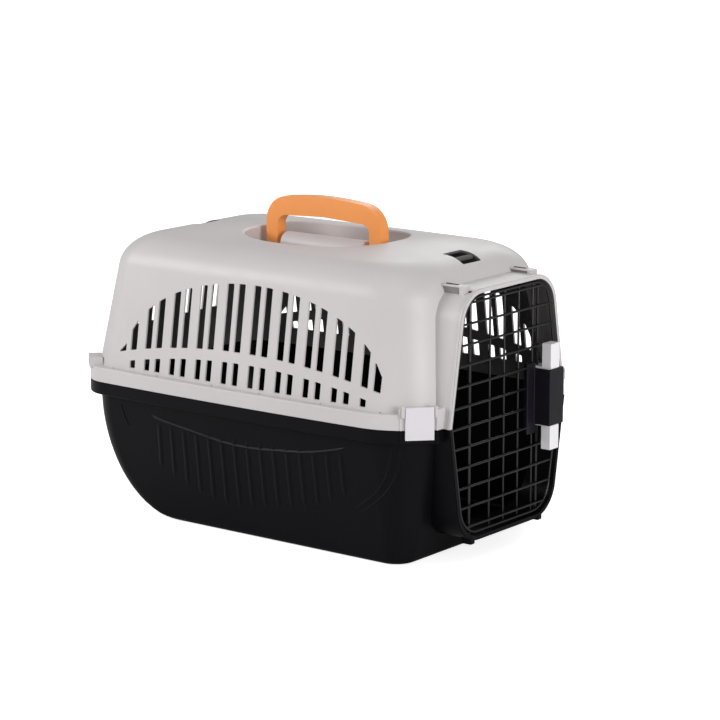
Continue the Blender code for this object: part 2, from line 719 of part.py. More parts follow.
def closed_tube(name, path, radius, look, sides=8):
    """Round wire bent into a closed loop in a plane of constant X."""
    bm = bmesh.new()
    count = len(path)
    rows = []
    for i, point in enumerate(path):
        along = (Vector(path[(i + 1) % count]) - Vector(path[i - 1])).normalized()
        side = along.cross(Vector((1.0, 0.0, 0.0)))
        row = []
        for k in range(sides):
            angle = 2.0 * math.pi * k / sides
            offset = Vector((radius * math.cos(angle), 0.0, 0.0)) + side * (radius * math.sin(angle))
            row.append(bm.verts.new(Vector(point) + offset))
        rows.append(row)
    for i in range(count):
        low, high = rows[i], rows[(i + 1) % count]
        for k in range(sides):
            j = (k + 1) % sides
            bm.faces.new((low[k], low[j], high[j], high[k]))
    return finish_object(name, bm, look)


def make_door():
    """Welded wire grid: a bent frame, cross wires in front, uprights and the hinge rod behind."""
    frame = collar_outline(-FRAME_INSET, "whole")
    closed_tube("door_frame_wire", [(WIRE_FRONT_X, y, z) for y, z in frame], WIRE_RADIUS, coated_wire())
    inside = collar_outline(-FRAME_INSET - WIRE_RADIUS - 2.0 * GAP, "whole")
    for k in range(CROSS_WIRES):
        z = CROSS_FIRST_Z + CROSS_PITCH * k
        reach = min(max(edge_crossing(inside, z + step, 1)) for step in (-WIRE_RADIUS, WIRE_RADIUS))
        beside_latch = WING_Z[0] - WIRE_RADIUS < z < WING_Z[1] + WIRE_RADIUS
        right = WING_Y - GAP if beside_latch else reach
        ends = (WIRE_FRONT_X, -reach, z), (WIRE_FRONT_X, right, z)
        rod("door_cross_wire_%02d" % (k + 1), *ends, WIRE_RADIUS, coated_wire(), sides=8)
    for k in range(UPRIGHTS):
        y = UPRIGHT_FIRST_Y + UPRIGHT_PITCH * k
        crossing = edge_crossing(frame, y, 0)
        ends = (WIRE_BACK_X, y, min(crossing)), (WIRE_BACK_X, y, max(crossing))
        rod("door_upright_%d" % (k + 1), *ends, WIRE_RADIUS, coated_wire(), sides=8)
    ends = (ROD_X, HINGE_Y, SOCKET_BOTTOM_Z + GAP), (ROD_X, HINGE_Y, SOCKET_TOP_Z - GAP)
    rod("door_hinge_rod", *ends, ROD_RADIUS, coated_wire())


def make_latch():
    """Squeeze latch: a channel on the grid with a tab and bolt at each end."""
    housing = box("latch_housing", LATCH_X, LATCH_Y, LATCH_Z, black_latch())
    wing_x = (WIRE_FRONT_X - WIRE_RADIUS, WIRE_FRONT_X + WIRE_RADIUS)
    join(housing, box("wing", wing_x, (WING_Y, LATCH_Y[0] + LATCH_SKIN), WING_Z))
    inner_y = (LATCH_Y[0] + LATCH_SKIN, LATCH_Y[1] - LATCH_SKIN)
    tall = (LATCH_Z[0] - CUT, LATCH_Z[1] + CUT)
    cut(housing, box("hollow", (LATCH_X[0] - CUT, LATCH_X[1] - LATCH_SKIN), inner_y, tall))
    cut(housing, box("groove", (LATCH_X[0] - CUT, wing_x[0]), (LATCH_Y[0] - CUT, inner_y[0] + GAP), tall))
    clean(housing)
    box("latch_back_plate", PLATE_X, PLATE_Y, PLATE_Z, black_latch())

    opening = collar_outline(0.0, "whole")
    edges = [edge_crossing(opening, BOLT_Y + side * (BOLT_RADIUS + GAP), 0) for side in (-1, 1)]
    bolt_top = min(max(pair) for pair in edges) - BOLT_SHORT
    bolt_bottom = max(min(pair) for pair in edges) + BOLT_SHORT
    for word, way, tab_z, stem_end, tip in (
            ("top", 1, TOP_TAB_Z, TOP_STEM_END_Z, bolt_top),
            ("bottom", -1, BOTTOM_TAB_Z[::-1], BOTTOM_STEM_END_Z, bolt_bottom)):
        tab = box("latch_tab_" + word, TAB_STEM_X, TAB_Y, sorted((tab_z[0], stem_end)), white_clip())
        head_z = LATCH_Z[(1 + way) // 2] + way * HEAD_GAP
        join(tab, box("head", TAB_HEAD_X, TAB_Y, sorted((head_z, tab_z[1]))))
        seat = stem_end - way * BOLT_SEAT
        cut(tab, rod("seat", (ROD_X, BOLT_Y, seat), (ROD_X, BOLT_Y, tip), BOLT_RADIUS + GAP))
        clean(tab)
        ends = (ROD_X, BOLT_Y, seat + way * GAP), (ROD_X, BOLT_Y, tip)
        rod("latch_bolt_" + word, *ends, BOLT_RADIUS, coated_wire())
    make_latch_spring()


def make_latch_spring():
    """Coil spring that drives the two tabs apart."""
    low = BOTTOM_TAB_Z[1] + GAP + SPRING_WIRE
    high = TOP_TAB_Z[0] - GAP - SPRING_WIRE
    per_turn, sides = 10, 6
    count = SPRING_TURNS * per_turn
    rings = []
    for i in range(count + 1):
        angle = 2.0 * math.pi * i / per_turn
        outward = Vector((math.cos(angle), math.sin(angle), 0.0))
        centre = Vector((SPRING_X, SPRING_Y, low + (high - low) * i / count)) + outward * SPRING_RADIUS
        ring = []
        for k in range(sides):
            turn = 2.0 * math.pi * k / sides
            lift = Vector((0.0, 0.0, SPRING_WIRE * math.sin(turn)))
            ring.append(centre + outward * (SPRING_WIRE * math.cos(turn)) + lift)
        rings.append(ring)
    loft("latch_spring", rings, bright_steel())


def main():
    for existing in list(bpy.data.objects):
        bpy.data.objects.remove(existing)
    make_lower_shell()
    make_upper_shell()
    make_clips()
    make_handle()
    make_handle_pins()
    make_door()
    make_latch()


main()
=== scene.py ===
"""Looks of the pet transport carrier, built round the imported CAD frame.

Metres, +X out of the door, +Y to the latch side, +Z up. The two shells, the door grid and the handle are rebuilt
as finished mouldings and wires. The clips and the latch's plastic parts are their CAD shapes with rounded edges.
The pins, the latch bolts and the spring keep their CAD shapes and get better materials.
"""
import math

import bmesh
import bpy
from mathutils import Matrix, Vector


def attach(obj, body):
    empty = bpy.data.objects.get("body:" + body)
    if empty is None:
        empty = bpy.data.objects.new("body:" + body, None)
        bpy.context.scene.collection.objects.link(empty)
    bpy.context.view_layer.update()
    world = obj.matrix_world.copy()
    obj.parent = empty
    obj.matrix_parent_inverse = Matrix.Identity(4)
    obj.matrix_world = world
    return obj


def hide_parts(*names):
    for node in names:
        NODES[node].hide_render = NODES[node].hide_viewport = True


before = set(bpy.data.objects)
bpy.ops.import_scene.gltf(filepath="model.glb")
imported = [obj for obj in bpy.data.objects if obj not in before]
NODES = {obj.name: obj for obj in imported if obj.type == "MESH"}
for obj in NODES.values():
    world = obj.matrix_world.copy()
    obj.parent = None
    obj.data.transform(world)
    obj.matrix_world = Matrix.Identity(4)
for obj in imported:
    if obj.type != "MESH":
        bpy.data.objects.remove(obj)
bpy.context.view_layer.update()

# Clearance between pieces, wall thickness, and how far a cutter runs past what it cuts
GAP = 0.0003
WALL = 0.0025
CUT = 0.020

# Rim and walls
SEAM_Z = 0.1535
RIM_HALF_LENGTH = 0.2425
RIM_HALF_WIDTH = 0.156
RIM_CORNER_REAR = 0.040
RIM_CORNER_FRONT = 0.072
RIM_BOW = 0.006
FLANGE_REACH = 0.010
FLANGE_BOTTOM_Z = 0.139
FLANGE_TOP_Z = 0.1705
FLANGE_SKIN = 0.003
FLANGE_ROUND = 0.0014
FLANGE_INNER_ROUND = 0.3 * FLANGE_ROUND
RIM_CHAMFER = 0.0004
WALL_CORNER_REAR = 0.033
WALL_CORNER_FRONT = 0.057

# Tub
BASE_FRONT_X = 0.203
BASE_HALF_WIDTH = 0.1315
BASE_CORNER = 0.023
BASE_EDGE = 0.005
REAR_CURVE_X = -0.127
REAR_CURVE_REACH = 0.1045
REAR_CURVE_RISE = 0.130
TUB_LEVELS = tuple(0.008 + 0.0061 * k for k in range(21))

# Upper wall and roof
UPPER_LEAN = 0.148
ROOF_EDGE_Z = 0.3205
ROOF_CROWN_Z = 0.3250
ROOF_ROUNDING = 0.040
ROOF_CORNER_SHRINK = 0.05
ROOF_CORNER_SHARE = 0.55
ROOF_LAST_ANGLE = math.radians(86.0)
UPPER_LEVELS = (0.185, 0.200, 0.215, 0.230, 0.245, 0.260, 0.275)
CROWN_START = 0.0600
CROWN_END = 0.110
CROWN_STEPS = 8

# Vents
VENT_PAIR_PITCH = 0.0381
VENT_PAIRS = 10
VENT_PAIR_HALF = 0.008
VENT_WIDTH = 0.010
LOWER_VENT_WIDTH = 0.0086
DOME_MIDDLE_X = 0.006
DOME_HALF_LENGTH = 0.182
DOME_BASE_Z = 0.188
DOME_RISE = 0.097
BAND_TOP_Z = 0.210
BAND_BOTTOM_Z = 0.1983
BAND_DROP = 0.0006
MILLIMETRE = 0.001
VENT_SILL_Z = 0.1735
VENT_LEAST = 0.001
VENT_ROUND = 0.0013
VENT_ROUND_SHARE = 0.3
VENT_ROUND_STEPS = 4
REAR_VENT_Y = (-0.0675, -0.041, -0.015, 0.015, 0.041, 0.0675)
REAR_VENT_X = (-0.250, -0.190)
REAR_VENT_BOTTOM_Z = 0.205
REAR_VENT_TOP_Z = 0.273
REAR_VENT_DROP = 0.012

# Pocket, ridge and handle
POCKET_HALF_LENGTH = 0.093
POCKET_HALF_WIDTH = 0.074
POCKET_FLOOR_Z = 0.293
POCKET_POWER = 2.6
POCKET_POINTS = 96
POCKET_LIP = 0.0028
POCKET_LIP_STEPS = 6
POCKET_LIP_STEP = 0.0002
POCKET_FILLET = 0.004
POCKET_FILLET_STEPS = 5
RIDGE_HALF_LENGTH = 0.058
RIDGE_HALF_WIDTH = 0.013
RIDGE_TOP_Z = 0.3215
RIDGE_END = ((0.0, 0.0016), (0.0006, 0.0006), (0.0018, 0.0))
PIVOT_Z = 0.302
LEG_OUTER_X = 0.0815
LEG_INNER_X = 0.0655
HANDLE_HALF_THICK = 0.0075
HANDLE_SHOULDER_Z = 0.3600
HANDLE_TOP_Z = 0.3678
HANDLE_CORNER = 0.030
HANDLE_ARCH = 0.4
GRIP_UNDER_Z = 0.3435
GRIP_UNDER_SIDE_Z = 0.3405
GRIP_INNER_CORNER = 0.012
PIN_RADIUS = 0.003
KNUCKLE_SIDES = 40
BORE_SIDES = 32

# Strap slots
STRAP_X = 0.186
STRAP_HALF_X = 0.0140
STRAP_HALF_Y = 0.0170
STRAP_CORNER = 0.002
STRAP_CORNER_STEPS = 5
STRAP_BAR_RADIUS = 0.0027
STRAP_BAR_Z = 0.3150

# Door collar
COLLAR_FRONT_X = 0.250
COLLAR_ROOT_X = 0.180
COLLAR_LIP = 0.004
COLLAR_BEAD = 0.0008
COLLAR_BEAD_X = 0.2468
OPENING_BOTTOM_Z = 0.027
OPENING_TOP_Z = 0.292
OPENING_BOTTOM_HALF = 0.0835
OPENING_SEAM_HALF = 0.1055
OPENING_TOP_HALF = 0.0808
OPENING_BOTTOM_RADIUS = 0.036
OPENING_TOP_RADIUS = 0.034

# Door wires, rod, horns and feet
WIRE_RADIUS = 0.0013
WIRE_FRONT_X = 0.2465
WIRE_BACK_X = WIRE_FRONT_X - 2.0 * WIRE_RADIUS - GAP
WIRE_OVERLAP = 0.3 * WIRE_RADIUS
WIRE_END = ((0.55, 0.80), (0.90, 0.42))
WELD_SWELL = (1.15, 1.25, 1.25, 1.0)
WELD_SEGMENTS = (12, 8)
FRAME_INSET = 0.0038
LIP_CLEARANCE = 0.0002
CROSS_WIRES = 12
CROSS_FIRST_Z = 0.039
CROSS_PITCH = 0.0222
UPRIGHTS = 4
UPRIGHT_FIRST_Y = -0.0280
UPRIGHT_PITCH = 0.0270
ROD_RADIUS = 0.002
ROD_X = WIRE_FRONT_X - WIRE_RADIUS - GAP - ROD_RADIUS
HINGE_Y = -0.0645
BOLT_Y = 0.0635
HORN_Y = (-0.0665, 0.0610)
HORN_HALF_Y = 0.006
HORN_X = (0.205, 0.240)
HORN_Z = (0.272, 0.3005)
CHANNEL_HALF_Y = 0.0033
CHANNEL_DEPTH = 0.0038
CHANNEL_STOP = 0.010
HOLLOW_X = (0.2075, 0.2345)
HOLLOW_Y = 0.0045
HOLLOW_Z = (0.2845, 0.2986)
FOOT_Y = (-0.0660, 0.0625)
FOOT_HALF_Y = 0.004
FOOT_X = (0.2375, 0.2505)
FOOT_Z = (0.0195, 0.045)
SOCKET_TOP_Z = 0.295
SOCKET_BOTTOM_Z = 0.0225
WING_Y = 0.0390
WING_Z = (0.120, 0.199)

# Corner pads, clips and rear towers
FRONT_CENTRE = (0.1875, 0.0925)
REAR_CENTRE = (-0.2025, 0.1165)
PAD_N = (0.034, 0.0550)
PAD_HALF_T = 0.021
PAD_TOP_Z = 0.1765
STEP_FRONT_X = 0.2415
STEP_Y = (0.1000, 0.1200)
EAR_N = (0.0520, 0.0595)
EAR_T = (0.0159, 0.0195)
EAR_Z = (0.168, 0.1805)
CLIP_N = (0.0554, 0.0590)
CLIP_PIVOT_Z = 0.1775
CLIP_LIP_HALF_T = 0.013
CLIP_LIP_Z = (0.1454, 0.1480)
CATCH_N = 0.0520
CATCH_SLACK = 0.001
CLIP_PIN_RADIUS = 0.0009
TOWER_N = (0.026, 0.0415)
TOWER_HALF_T = 0.015
TOWER_TOP_Z = 0.1795
HOOK_N = (0.0345, 0.0385)
HOOK_HALF_T = 0.0080
HOOK_FOOT_Z = FLANGE_BOTTOM_Z + 0.002
HOOK_TOP_Z = 0.1766
HOOK_SLACK = 0.0005
WINDOW_Z = 0.1700

# Relief on the tub's sides, its strips as half width, height and the share that fades in at each end
STRIP_STEPS = 10
STRIP_SUNK = 0.0003
STRIP_PROBE = 0.002
STRIP_FOOT = 0.9
ARC_STRIP = (0.0026, 0.0016, 0.12)
BEAD_STRIP = (0.0024, 0.0013, 0.15)
RIB_STRIP = (0.0052, 0.0013, 0.22)
INNER_ARC_X = -0.0080
INNER_ARC_Z = 0.0030
RIBS = 15
RIB_FIRST_X = -0.1265
RIB_PITCH = 0.0185
RIB_STEPS = 16
RIB_LEAN = 0.02
RIB_MIDDLE_X = 0.02
RIB_TOP_GAP = 0.004

# Ribs across the floor, and marks on the flange
FLOOR_RIBS = 14
FLOOR_RIB_FIRST_X = -0.108
FLOOR_RIB_PITCH = 0.0225
FLOOR_RIB_HALF_Y = 0.100
FLOOR_RIB_RADIUS = 0.0014
FLOOR_RIB_Z = WALL - 0.0004
FLOOR_RIB_SIDES = 10
MARK_X = (-0.190, -0.122, -0.041, 0.027, 0.111, 0.187)
MARK_RADIUS = 0.0013
MARK_DEPTH = 0.0012
MARK_INSET = 0.0078

# Edges of blocks before they are joined or cut, and of finished mouldings
FOOT_ROUND = 0.0012
BLOCK_ROUND = 0.0010
STEP_ROUND = 0.0008
HOOK_ROUND = 0.0006
TOWER_ROUND = 0.0014
RECESS_ROUND = 0.0005
SHELL_EDGE = 0.0005
GRIP_EDGE = 0.0013
LATCH_EDGE = 0.0008
THIN_EDGE = 0.0006

# How finely curves are cut, and how near two points count as one
BASE_STEPS = 6
CORNER_STEPS = 14
SIDE_STEPS = 12
ARC_STEPS = 14
SAME_POINT = 1e-7
SAME_CORNER = 4e-6
FLAT_ANGLE = math.radians(1.0)

# Finish of plastics and metals
SCUFF_SPREAD = 0.04
PLASTIC_IOR = 1.49
PLASTIC_GRAIN_DEPTH = 0.0004
METAL_GRAIN_DEPTH = 0.0003

# Studio
FLOOR_SIZE = 14.0
FLOOR_Z = -0.0005
FLOOR_GLOW = 0.74
PAPER = (0.86, 0.86, 0.86, 1.0)
PAPER_ROUGHNESS = 0.9
AMBIENT = 0.34
AIM = (0.0, 0.0, 0.15)
HIGH_AIM = (0.0, 0.0, 0.2)
LENS = 137.5
SENSOR = 36.0
CAMERA_DISTANCE = 3.09
CAMERA_TARGET = (0.047, 0.0, 0.185)
AZIMUTH = math.radians(37.5)
ELEVATION = math.radians(11.8)


def new_material(name):
    """A node material's tree, its Principled shader, and object coordinates to drive textures."""
    made = bpy.data.materials.new(name)
    made.use_nodes = True
    tree = made.node_tree
    return made, tree, tree.nodes["Principled BSDF"], tree.nodes.new("ShaderNodeTexCoord").outputs["Object"]


def add_node(tree, kind, **values):
    """A node with its sockets set, where a socket From Min is written From_Min."""
    node = tree.nodes.new(kind)
    for name, value in values.items():
        node.inputs[name.replace("_", " ")].default_value = value
    return node


def add_noise(tree, vector, **values):
    noise = add_node(tree, "ShaderNodeTexNoise", **values)
    tree.links.new(vector, noise.inputs["Vector"])
    return noise.outputs["Fac"]


def drive_colour(tree, shader, factor, low, high):
    """Base colour from a ramp, where low and high are pairs of a position and a colour."""
    ramp = tree.nodes.new("ShaderNodeValToRGB")
    for element, (position, colour) in zip(ramp.color_ramp.elements, (low, high)):
        element.position = position
        element.color = (*colour, 1.0)
    tree.links.new(factor, ramp.inputs["Fac"])
    tree.links.new(ramp.outputs["Color"], shader.inputs["Base Color"])


def drive_roughness(tree, shader, factor, **limits):
    spread = add_node(tree, "ShaderNodeMapRange", **limits)
    tree.links.new(factor, spread.inputs["Value"])
    tree.links.new(spread.outputs["Result"], shader.inputs["Roughness"])


def drive_bump(tree, shader, height, strength, distance):
    bump = add_node(tree, "ShaderNodeBump", Strength=strength, Distance=distance)
    tree.links.new(height, bump.inputs["Height"])
    tree.links.new(bump.outputs["Normal"], shader.inputs["Normal"])


def moulded(name, colour, tint, roughness, grain, gloss):
    """Injection-moulded plastic: a fine spark-eroded grain, faint flow shading and soft handling scuffs."""
    made, tree, shader, place_on_object = new_material(name)
    flow = add_noise(tree, place_on_object, Scale=9.0, Detail=4.0, Roughness=0.45)
    drive_colour(tree, shader, flow, (0.30, tint), (0.72, colour))
    scuff = add_noise(tree, place_on_object, Scale=38.0, Detail=6.0, Roughness=0.62, Distortion=0.6)
    drive_roughness(tree, shader, scuff, From_Min=0.30, From_Max=0.70,
                    To_Min=roughness - SCUFF_SPREAD, To_Max=roughness + SCUFF_SPREAD)
    erosion = add_noise(tree, place_on_object, Scale=1500.0, Detail=3.0)
    drive_bump(tree, shader, erosion, grain, PLASTIC_GRAIN_DEPTH)
    shader.inputs["IOR"].default_value = PLASTIC_IOR
    shader.inputs["Specular IOR Level"].default_value = gloss
    return made


def metal(name, colour, roughness, metallic, stretch, grain, gloss):
    """Drawn or coated wire stock: streaks along its length and a faint surface pitting."""
    made, tree, shader, place_on_object = new_material(name)
    shader.inputs["Metallic"].default_value = metallic
    shader.inputs["Specular IOR Level"].default_value = gloss
    along = add_node(tree, "ShaderNodeMapping", Scale=stretch)
    tree.links.new(place_on_object, along.inputs["Vector"])
    streak = add_noise(tree, along.outputs["Vector"], Scale=420.0, Detail=5.0)
    darker = [0.72 * part for part in colour]
    lighter = [min(1.0, 1.30 * part) for part in colour]
    drive_colour(tree, shader, streak, (0.25, darker), (0.80, lighter))
    drive_roughness(tree, shader, streak, To_Min=roughness - 0.07, To_Max=roughness + 0.10)
    drive_bump(tree, shader, streak, grain, METAL_GRAIN_DEPTH)
    return made


# Each plastic has a colour, a darker tint and a roughness
PALE = moulded("pale_plastic", (0.615, 0.585, 0.588), (0.585, 0.555, 0.558), 0.42, grain=0.10, gloss=0.35)
# Painted shade: a dark grey copy of the pale plastic for the shell's inner faces and its slots, holes, channels and
# strap bars, where shade falls
PAINTED_SHADE = moulded("pale_plastic_painted_shade", (0.125, 0.115, 0.116), (0.105, 0.098, 0.099), 0.60, grain=0.10, gloss=0.2)
# Painted shade: a mid-grey copy of the pale plastic for the shaded hollows in the horns' sides
PAINTED_HOLLOW_SHADE = moulded("pale_plastic_painted_hollow_shade", (0.290, 0.275, 0.277), (0.265, 0.251, 0.253), 0.55, grain=0.10, gloss=0.2)
BLACK = moulded("black_plastic", (0.0040, 0.0035, 0.0048), (0.0029, 0.0025, 0.0036), 0.38, grain=0.12, gloss=0.09)
ORANGE = moulded("orange_plastic", (0.960, 0.365, 0.098), (0.930, 0.335, 0.084), 0.40, grain=0.06, gloss=0.4)
WHITE = moulded("white_plastic", (0.740, 0.708, 0.752), (0.715, 0.684, 0.728), 0.36, grain=0.05, gloss=0.4)
TAB_WHITE = moulded("tab_plastic", (0.900, 0.885, 0.900), (0.875, 0.860, 0.875), 0.34, grain=0.04, gloss=0.4)
LATCH_BLACK = moulded("latch_plastic", (0.010, 0.0085, 0.0135), (0.0075, 0.0065, 0.010), 0.40, grain=0.08, gloss=0.22)
COATED = metal("powder_coat", (0.004, 0.0036, 0.0046), 0.30, 0.0, (1.0, 1.0, 1.0), grain=0.15, gloss=0.55)
STEEL = metal("drawn_steel", (0.48, 0.48, 0.49), 0.28, 1.0, (0.15, 1.0, 1.0), grain=0.10, gloss=0.5)


def link_object(name, mesh, look=None):
    if look:
        mesh.materials.append(look)
    made = bpy.data.objects.new(name, mesh)
    bpy.context.scene.collection.objects.link(made)
    return made


def finish_object(name, bm, look=None):
    """Turn a bmesh of closed bodies into a smooth object whose faces point out."""
    bmesh.ops.recalc_face_normals(bm, faces=bm.faces)
    mesh = bpy.data.meshes.new(name)
    bm.to_mesh(mesh)
    bm.free()
    mesh.shade_smooth()
    return link_object(name, mesh, look)


def loft(name, rings, look=None):
    """Bridge rings of equal length into one closed body."""
    bm = bmesh.new()
    rows = [[bm.verts.new(point) for point in ring] for ring in rings]
    count = len(rows[0])
    for low, high in zip(rows, rows[1:]):
        for i in range(count):
            j = (i + 1) % count
            bm.faces.new((low[i], low[j], high[j], high[i]))
    bm.faces.new(rows[0])
    bm.faces.new(rows[-1])
    bmesh.ops.remove_doubles(bm, verts=bm.verts, dist=SAME_POINT)
    return finish_object(name, bm, look)


def box(name, x, y, z, rounding=0.0, look=None):
    """Box between pairs of coordinates, its edges rounded."""
    ring = [(x[0], y[0]), (x[1], y[0]), (x[1], y[1]), (x[0], y[1])]
    made = loft(name, [[(a, b, height) for a, b in ring] for height in z], look)
    if rounding:
        bm = bmesh.new()
        bm.from_mesh(made.data)
        bmesh.ops.bevel(bm, geom=bm.edges, offset=rounding, segments=3, profile=0.5, affect="EDGES")
        bm.to_mesh(made.data)
        bm.free()
    return made


def prism_x(name, outline, x, look=None):
    """Outline of (y, z) drawn out between two values of X."""
    return loft(name, [[(value, y, z) for y, z in outline] for value in x], look)


def prism_y(name, outline, y):
    """Outline of (x, z) drawn out between two values of Y."""
    return loft(name, [[(x, value, z) for x, z in outline] for value in y])


def rod(name, start, end, radius, sides=24, look=None):
    """Cylinder from one point to another."""
    start, end = Vector(start), Vector(end)
    turn = (end - start).to_track_quat("Z", "Y").to_matrix()
    rings = []
    for centre in (start, end):
        angles = (2.0 * math.pi * k / sides for k in range(sides))
        rings.append([centre + turn @ Vector((radius * math.cos(a), radius * math.sin(a), 0)) for a in angles])
    return loft(name, rings, look)


def combine(target, tool, operation):
    """Boolean that uses the tool up. Where the tool has a material, the faces it makes take it."""
    step = target.modifiers.new(operation.lower(), "BOOLEAN")
    step.operation = operation
    step.solver = "EXACT"
    step.object = tool
    step.material_mode = "TRANSFER" if tool.data.materials else "INDEX"
    graph = bpy.context.evaluated_depsgraph_get()
    mesh = bpy.data.meshes.new_from_object(target.evaluated_get(graph))
    target.modifiers.remove(step)
    target.data = mesh
    bpy.data.objects.remove(tool)


def join(target, *tools):
    for tool in tools:
        combine(target, tool, "UNION")


def cut(target, *tools):
    for tool in tools:
        combine(target, tool, "DIFFERENCE")


def gather(name, parts, look=None):
    """Put separate closed bodies into one object."""
    bm = bmesh.new()
    for part in parts:
        bm.from_mesh(part.data)
        bpy.data.objects.remove(part)
    mesh = bpy.data.meshes.new(name)
    bm.to_mesh(mesh)
    bm.free()
    return link_object(name, mesh, look)


def place(target, matrix):
    target.data.transform(matrix)
    return target


def rounded_polygon(corners, steps=ARC_STEPS):
    """Points round a polygon whose corners are (a, b, radius)."""
    points = []
    for i, (a, b, radius) in enumerate(corners):
        here = Vector((a, b))
        if radius == 0.0:
            points.append((a, b))
            continue
        before = Vector(corners[i - 1][:2]) - here
        after = Vector(corners[(i + 1) % len(corners)][:2]) - here
        before.normalize()
        after.normalize()
        half = 0.5 * before.angle(after)
        centre = here + (before + after).normalized() * (radius / math.sin(half))
        first = here + before * (radius / math.tan(half)) - centre
        last = here + after * (radius / math.tan(half)) - centre
        sweep = first.angle_signed(last)
        for step in range(steps + 1):
            points.append(tuple(centre + Matrix.Rotation(-sweep * step / steps, 2) @ first))
    return points


def plan_ring(x_rear, x_front, half_width, radius_rear, radius_front, bow, z):
    """Level ring with a rounded corner at each end of each side, the sides bowed outwards."""
    corners = (
        (x_front - radius_front, half_width - radius_front, radius_front, 0.0),
        (x_rear + radius_rear, half_width - radius_rear, radius_rear, 90.0),
        (x_rear + radius_rear, radius_rear - half_width, radius_rear, 180.0),
        (x_front - radius_front, radius_front - half_width, radius_front, 270.0),
    )
    flat = []
    for i, (cx, cy, radius, start) in enumerate(corners):
        for step in range(CORNER_STEPS + 1):
            angle = math.radians(start + 90.0 * step / CORNER_STEPS)
            flat.append((cx + radius * math.cos(angle), cy + radius * math.sin(angle)))
        nx, ny, next_radius, next_start = corners[(i + 1) % 4]
        angle = math.radians(next_start)
        following = (nx + next_radius * math.cos(angle), ny + next_radius * math.sin(angle))
        here = flat[-1]
        for step in range(1, SIDE_STEPS):
            share = step / SIDE_STEPS
            flat.append(tuple(p + (q - p) * share for p, q in zip(here, following)))
    middle = 0.5 * (x_rear + x_front)
    half_length = 0.5 * (x_front - x_rear)
    ring = []
    for x, y in flat:
        swell = bow * (1.0 - ((x - middle) / half_length) ** 2) / half_width
        ring.append((x, y * (1.0 + swell), z))
    return ring


def rim_ring(inset, z):
    """Ring round the flange, that far in from its edge."""
    return plan_ring(
        inset - RIM_HALF_LENGTH, RIM_HALF_LENGTH - inset, RIM_HALF_WIDTH - inset,
        RIM_CORNER_REAR - inset, RIM_CORNER_FRONT - inset, RIM_BOW, z)


def tub_ring(z, inset, skin=0.0):
    """Ring round the tub's wall, with its rear end curving up. The skin offsets that curve for the cavity."""
    wall_top = SEAM_Z - FLANGE_SKIN
    share = min(z, wall_top) / wall_top
    half_length = RIM_HALF_LENGTH - FLANGE_REACH
    x_front = BASE_FRONT_X + (half_length - BASE_FRONT_X) * share
    half_width = BASE_HALF_WIDTH + (RIM_HALF_WIDTH - FLANGE_REACH - BASE_HALF_WIDTH) * share
    rear = BASE_CORNER + (WALL_CORNER_REAR - BASE_CORNER) * share - 0.5 * inset
    front = BASE_CORNER + (WALL_CORNER_FRONT - BASE_CORNER) * share - 0.5 * inset
    depth = max(0.0, (REAR_CURVE_RISE - z) / (REAR_CURVE_RISE - skin))
    reach = (REAR_CURVE_REACH - skin) * math.sqrt(max(0.0, 1.0 - depth * depth))
    return plan_ring(
        REAR_CURVE_X - reach + inset - skin, x_front - inset, half_width - inset,
        rear, front, RIM_BOW * share, z)


def upper_ring(inset, z):
    """Ring round the upper wall, that far in from the wall's foot."""
    half_length = RIM_HALF_LENGTH - FLANGE_REACH - inset
    half_width = RIM_HALF_WIDTH - FLANGE_REACH - inset
    rear, front = (min(corner - ROOF_CORNER_SHRINK * inset, ROOF_CORNER_SHARE * half_width)
                   for corner in (WALL_CORNER_REAR, WALL_CORNER_FRONT))
    return plan_ring(-half_length, half_length, half_width, rear, front, RIM_BOW, z)


def crown_z(inset):
    """Height of the roof over a point that far in from the wall's foot."""
    share = min(1.0, max(0.0, (inset - CROWN_START) / (CROWN_END - CROWN_START)))
    return ROOF_EDGE_Z + (ROOF_CROWN_Z - ROOF_EDGE_Z) * math.sin(0.5 * math.pi * share)


def upper_profile(skin):
    """Inset and height of the upper wall and roof, from the flange up, that far under the outer skin."""
    lean = math.atan(UPPER_LEAN)
    centre_z = ROOF_EDGE_Z - ROOF_ROUNDING
    tangent_z = centre_z + ROOF_ROUNDING * math.sin(lean)
    centre_inset = UPPER_LEAN * (tangent_z - FLANGE_TOP_Z) + ROOF_ROUNDING * math.cos(lean)
    profile = [(UPPER_LEAN * (z - FLANGE_TOP_Z) + skin, z) for z in (FLANGE_TOP_Z, *UPPER_LEVELS)]
    for step in range(ARC_STEPS + 1):
        angle = lean + (ROOF_LAST_ANGLE - lean) * step / ARC_STEPS
        radius = ROOF_ROUNDING - skin
        profile.append((centre_inset - radius * math.cos(angle), centre_z + radius * math.sin(angle)))
    for step in range(1, CROWN_STEPS + 1):
        inset = CROWN_START + (CROWN_END - CROWN_START) * step / CROWN_STEPS
        profile.append((inset, crown_z(inset) - skin))
    return profile


def collar_outline(lip, half):
    """Outline of (y, z) that far outside the door's opening: its lower half, its upper half or the whole."""
    seam_half = OPENING_SEAM_HALF + lip
    bottom = (OPENING_BOTTOM_HALF + lip, OPENING_BOTTOM_Z - lip, OPENING_BOTTOM_RADIUS + lip)
    top = (OPENING_TOP_HALF + lip, OPENING_TOP_Z + lip, OPENING_TOP_RADIUS + lip)
    if half == "lower":
        corners = [bottom, (seam_half, SEAM_Z - 0.5 * GAP, 0.0)]
    elif half == "upper":
        corners = [(seam_half, SEAM_Z + 0.5 * GAP, 0.0), top]
    else:
        corners = [bottom, (seam_half, SEAM_Z, 0.0), top]
    mirrored = [(-a, b, radius) for a, b, radius in reversed(corners)]
    return rounded_polygon(corners + mirrored)


def edge_crossing(outline, value, axis):
    """Other coordinate of the points where an outline's coordinate on that axis, 0 or 1, has that value."""
    found = []
    for i, first in enumerate(outline):
        second = outline[(i + 1) % len(outline)]
        low, high = first[axis] - value, second[axis] - value
        if low * high <= 0.0 and low != high:
            share = low / (low - high)
            found.append(first[1 - axis] + (second[1 - axis] - first[1 - axis]) * share)
    return found


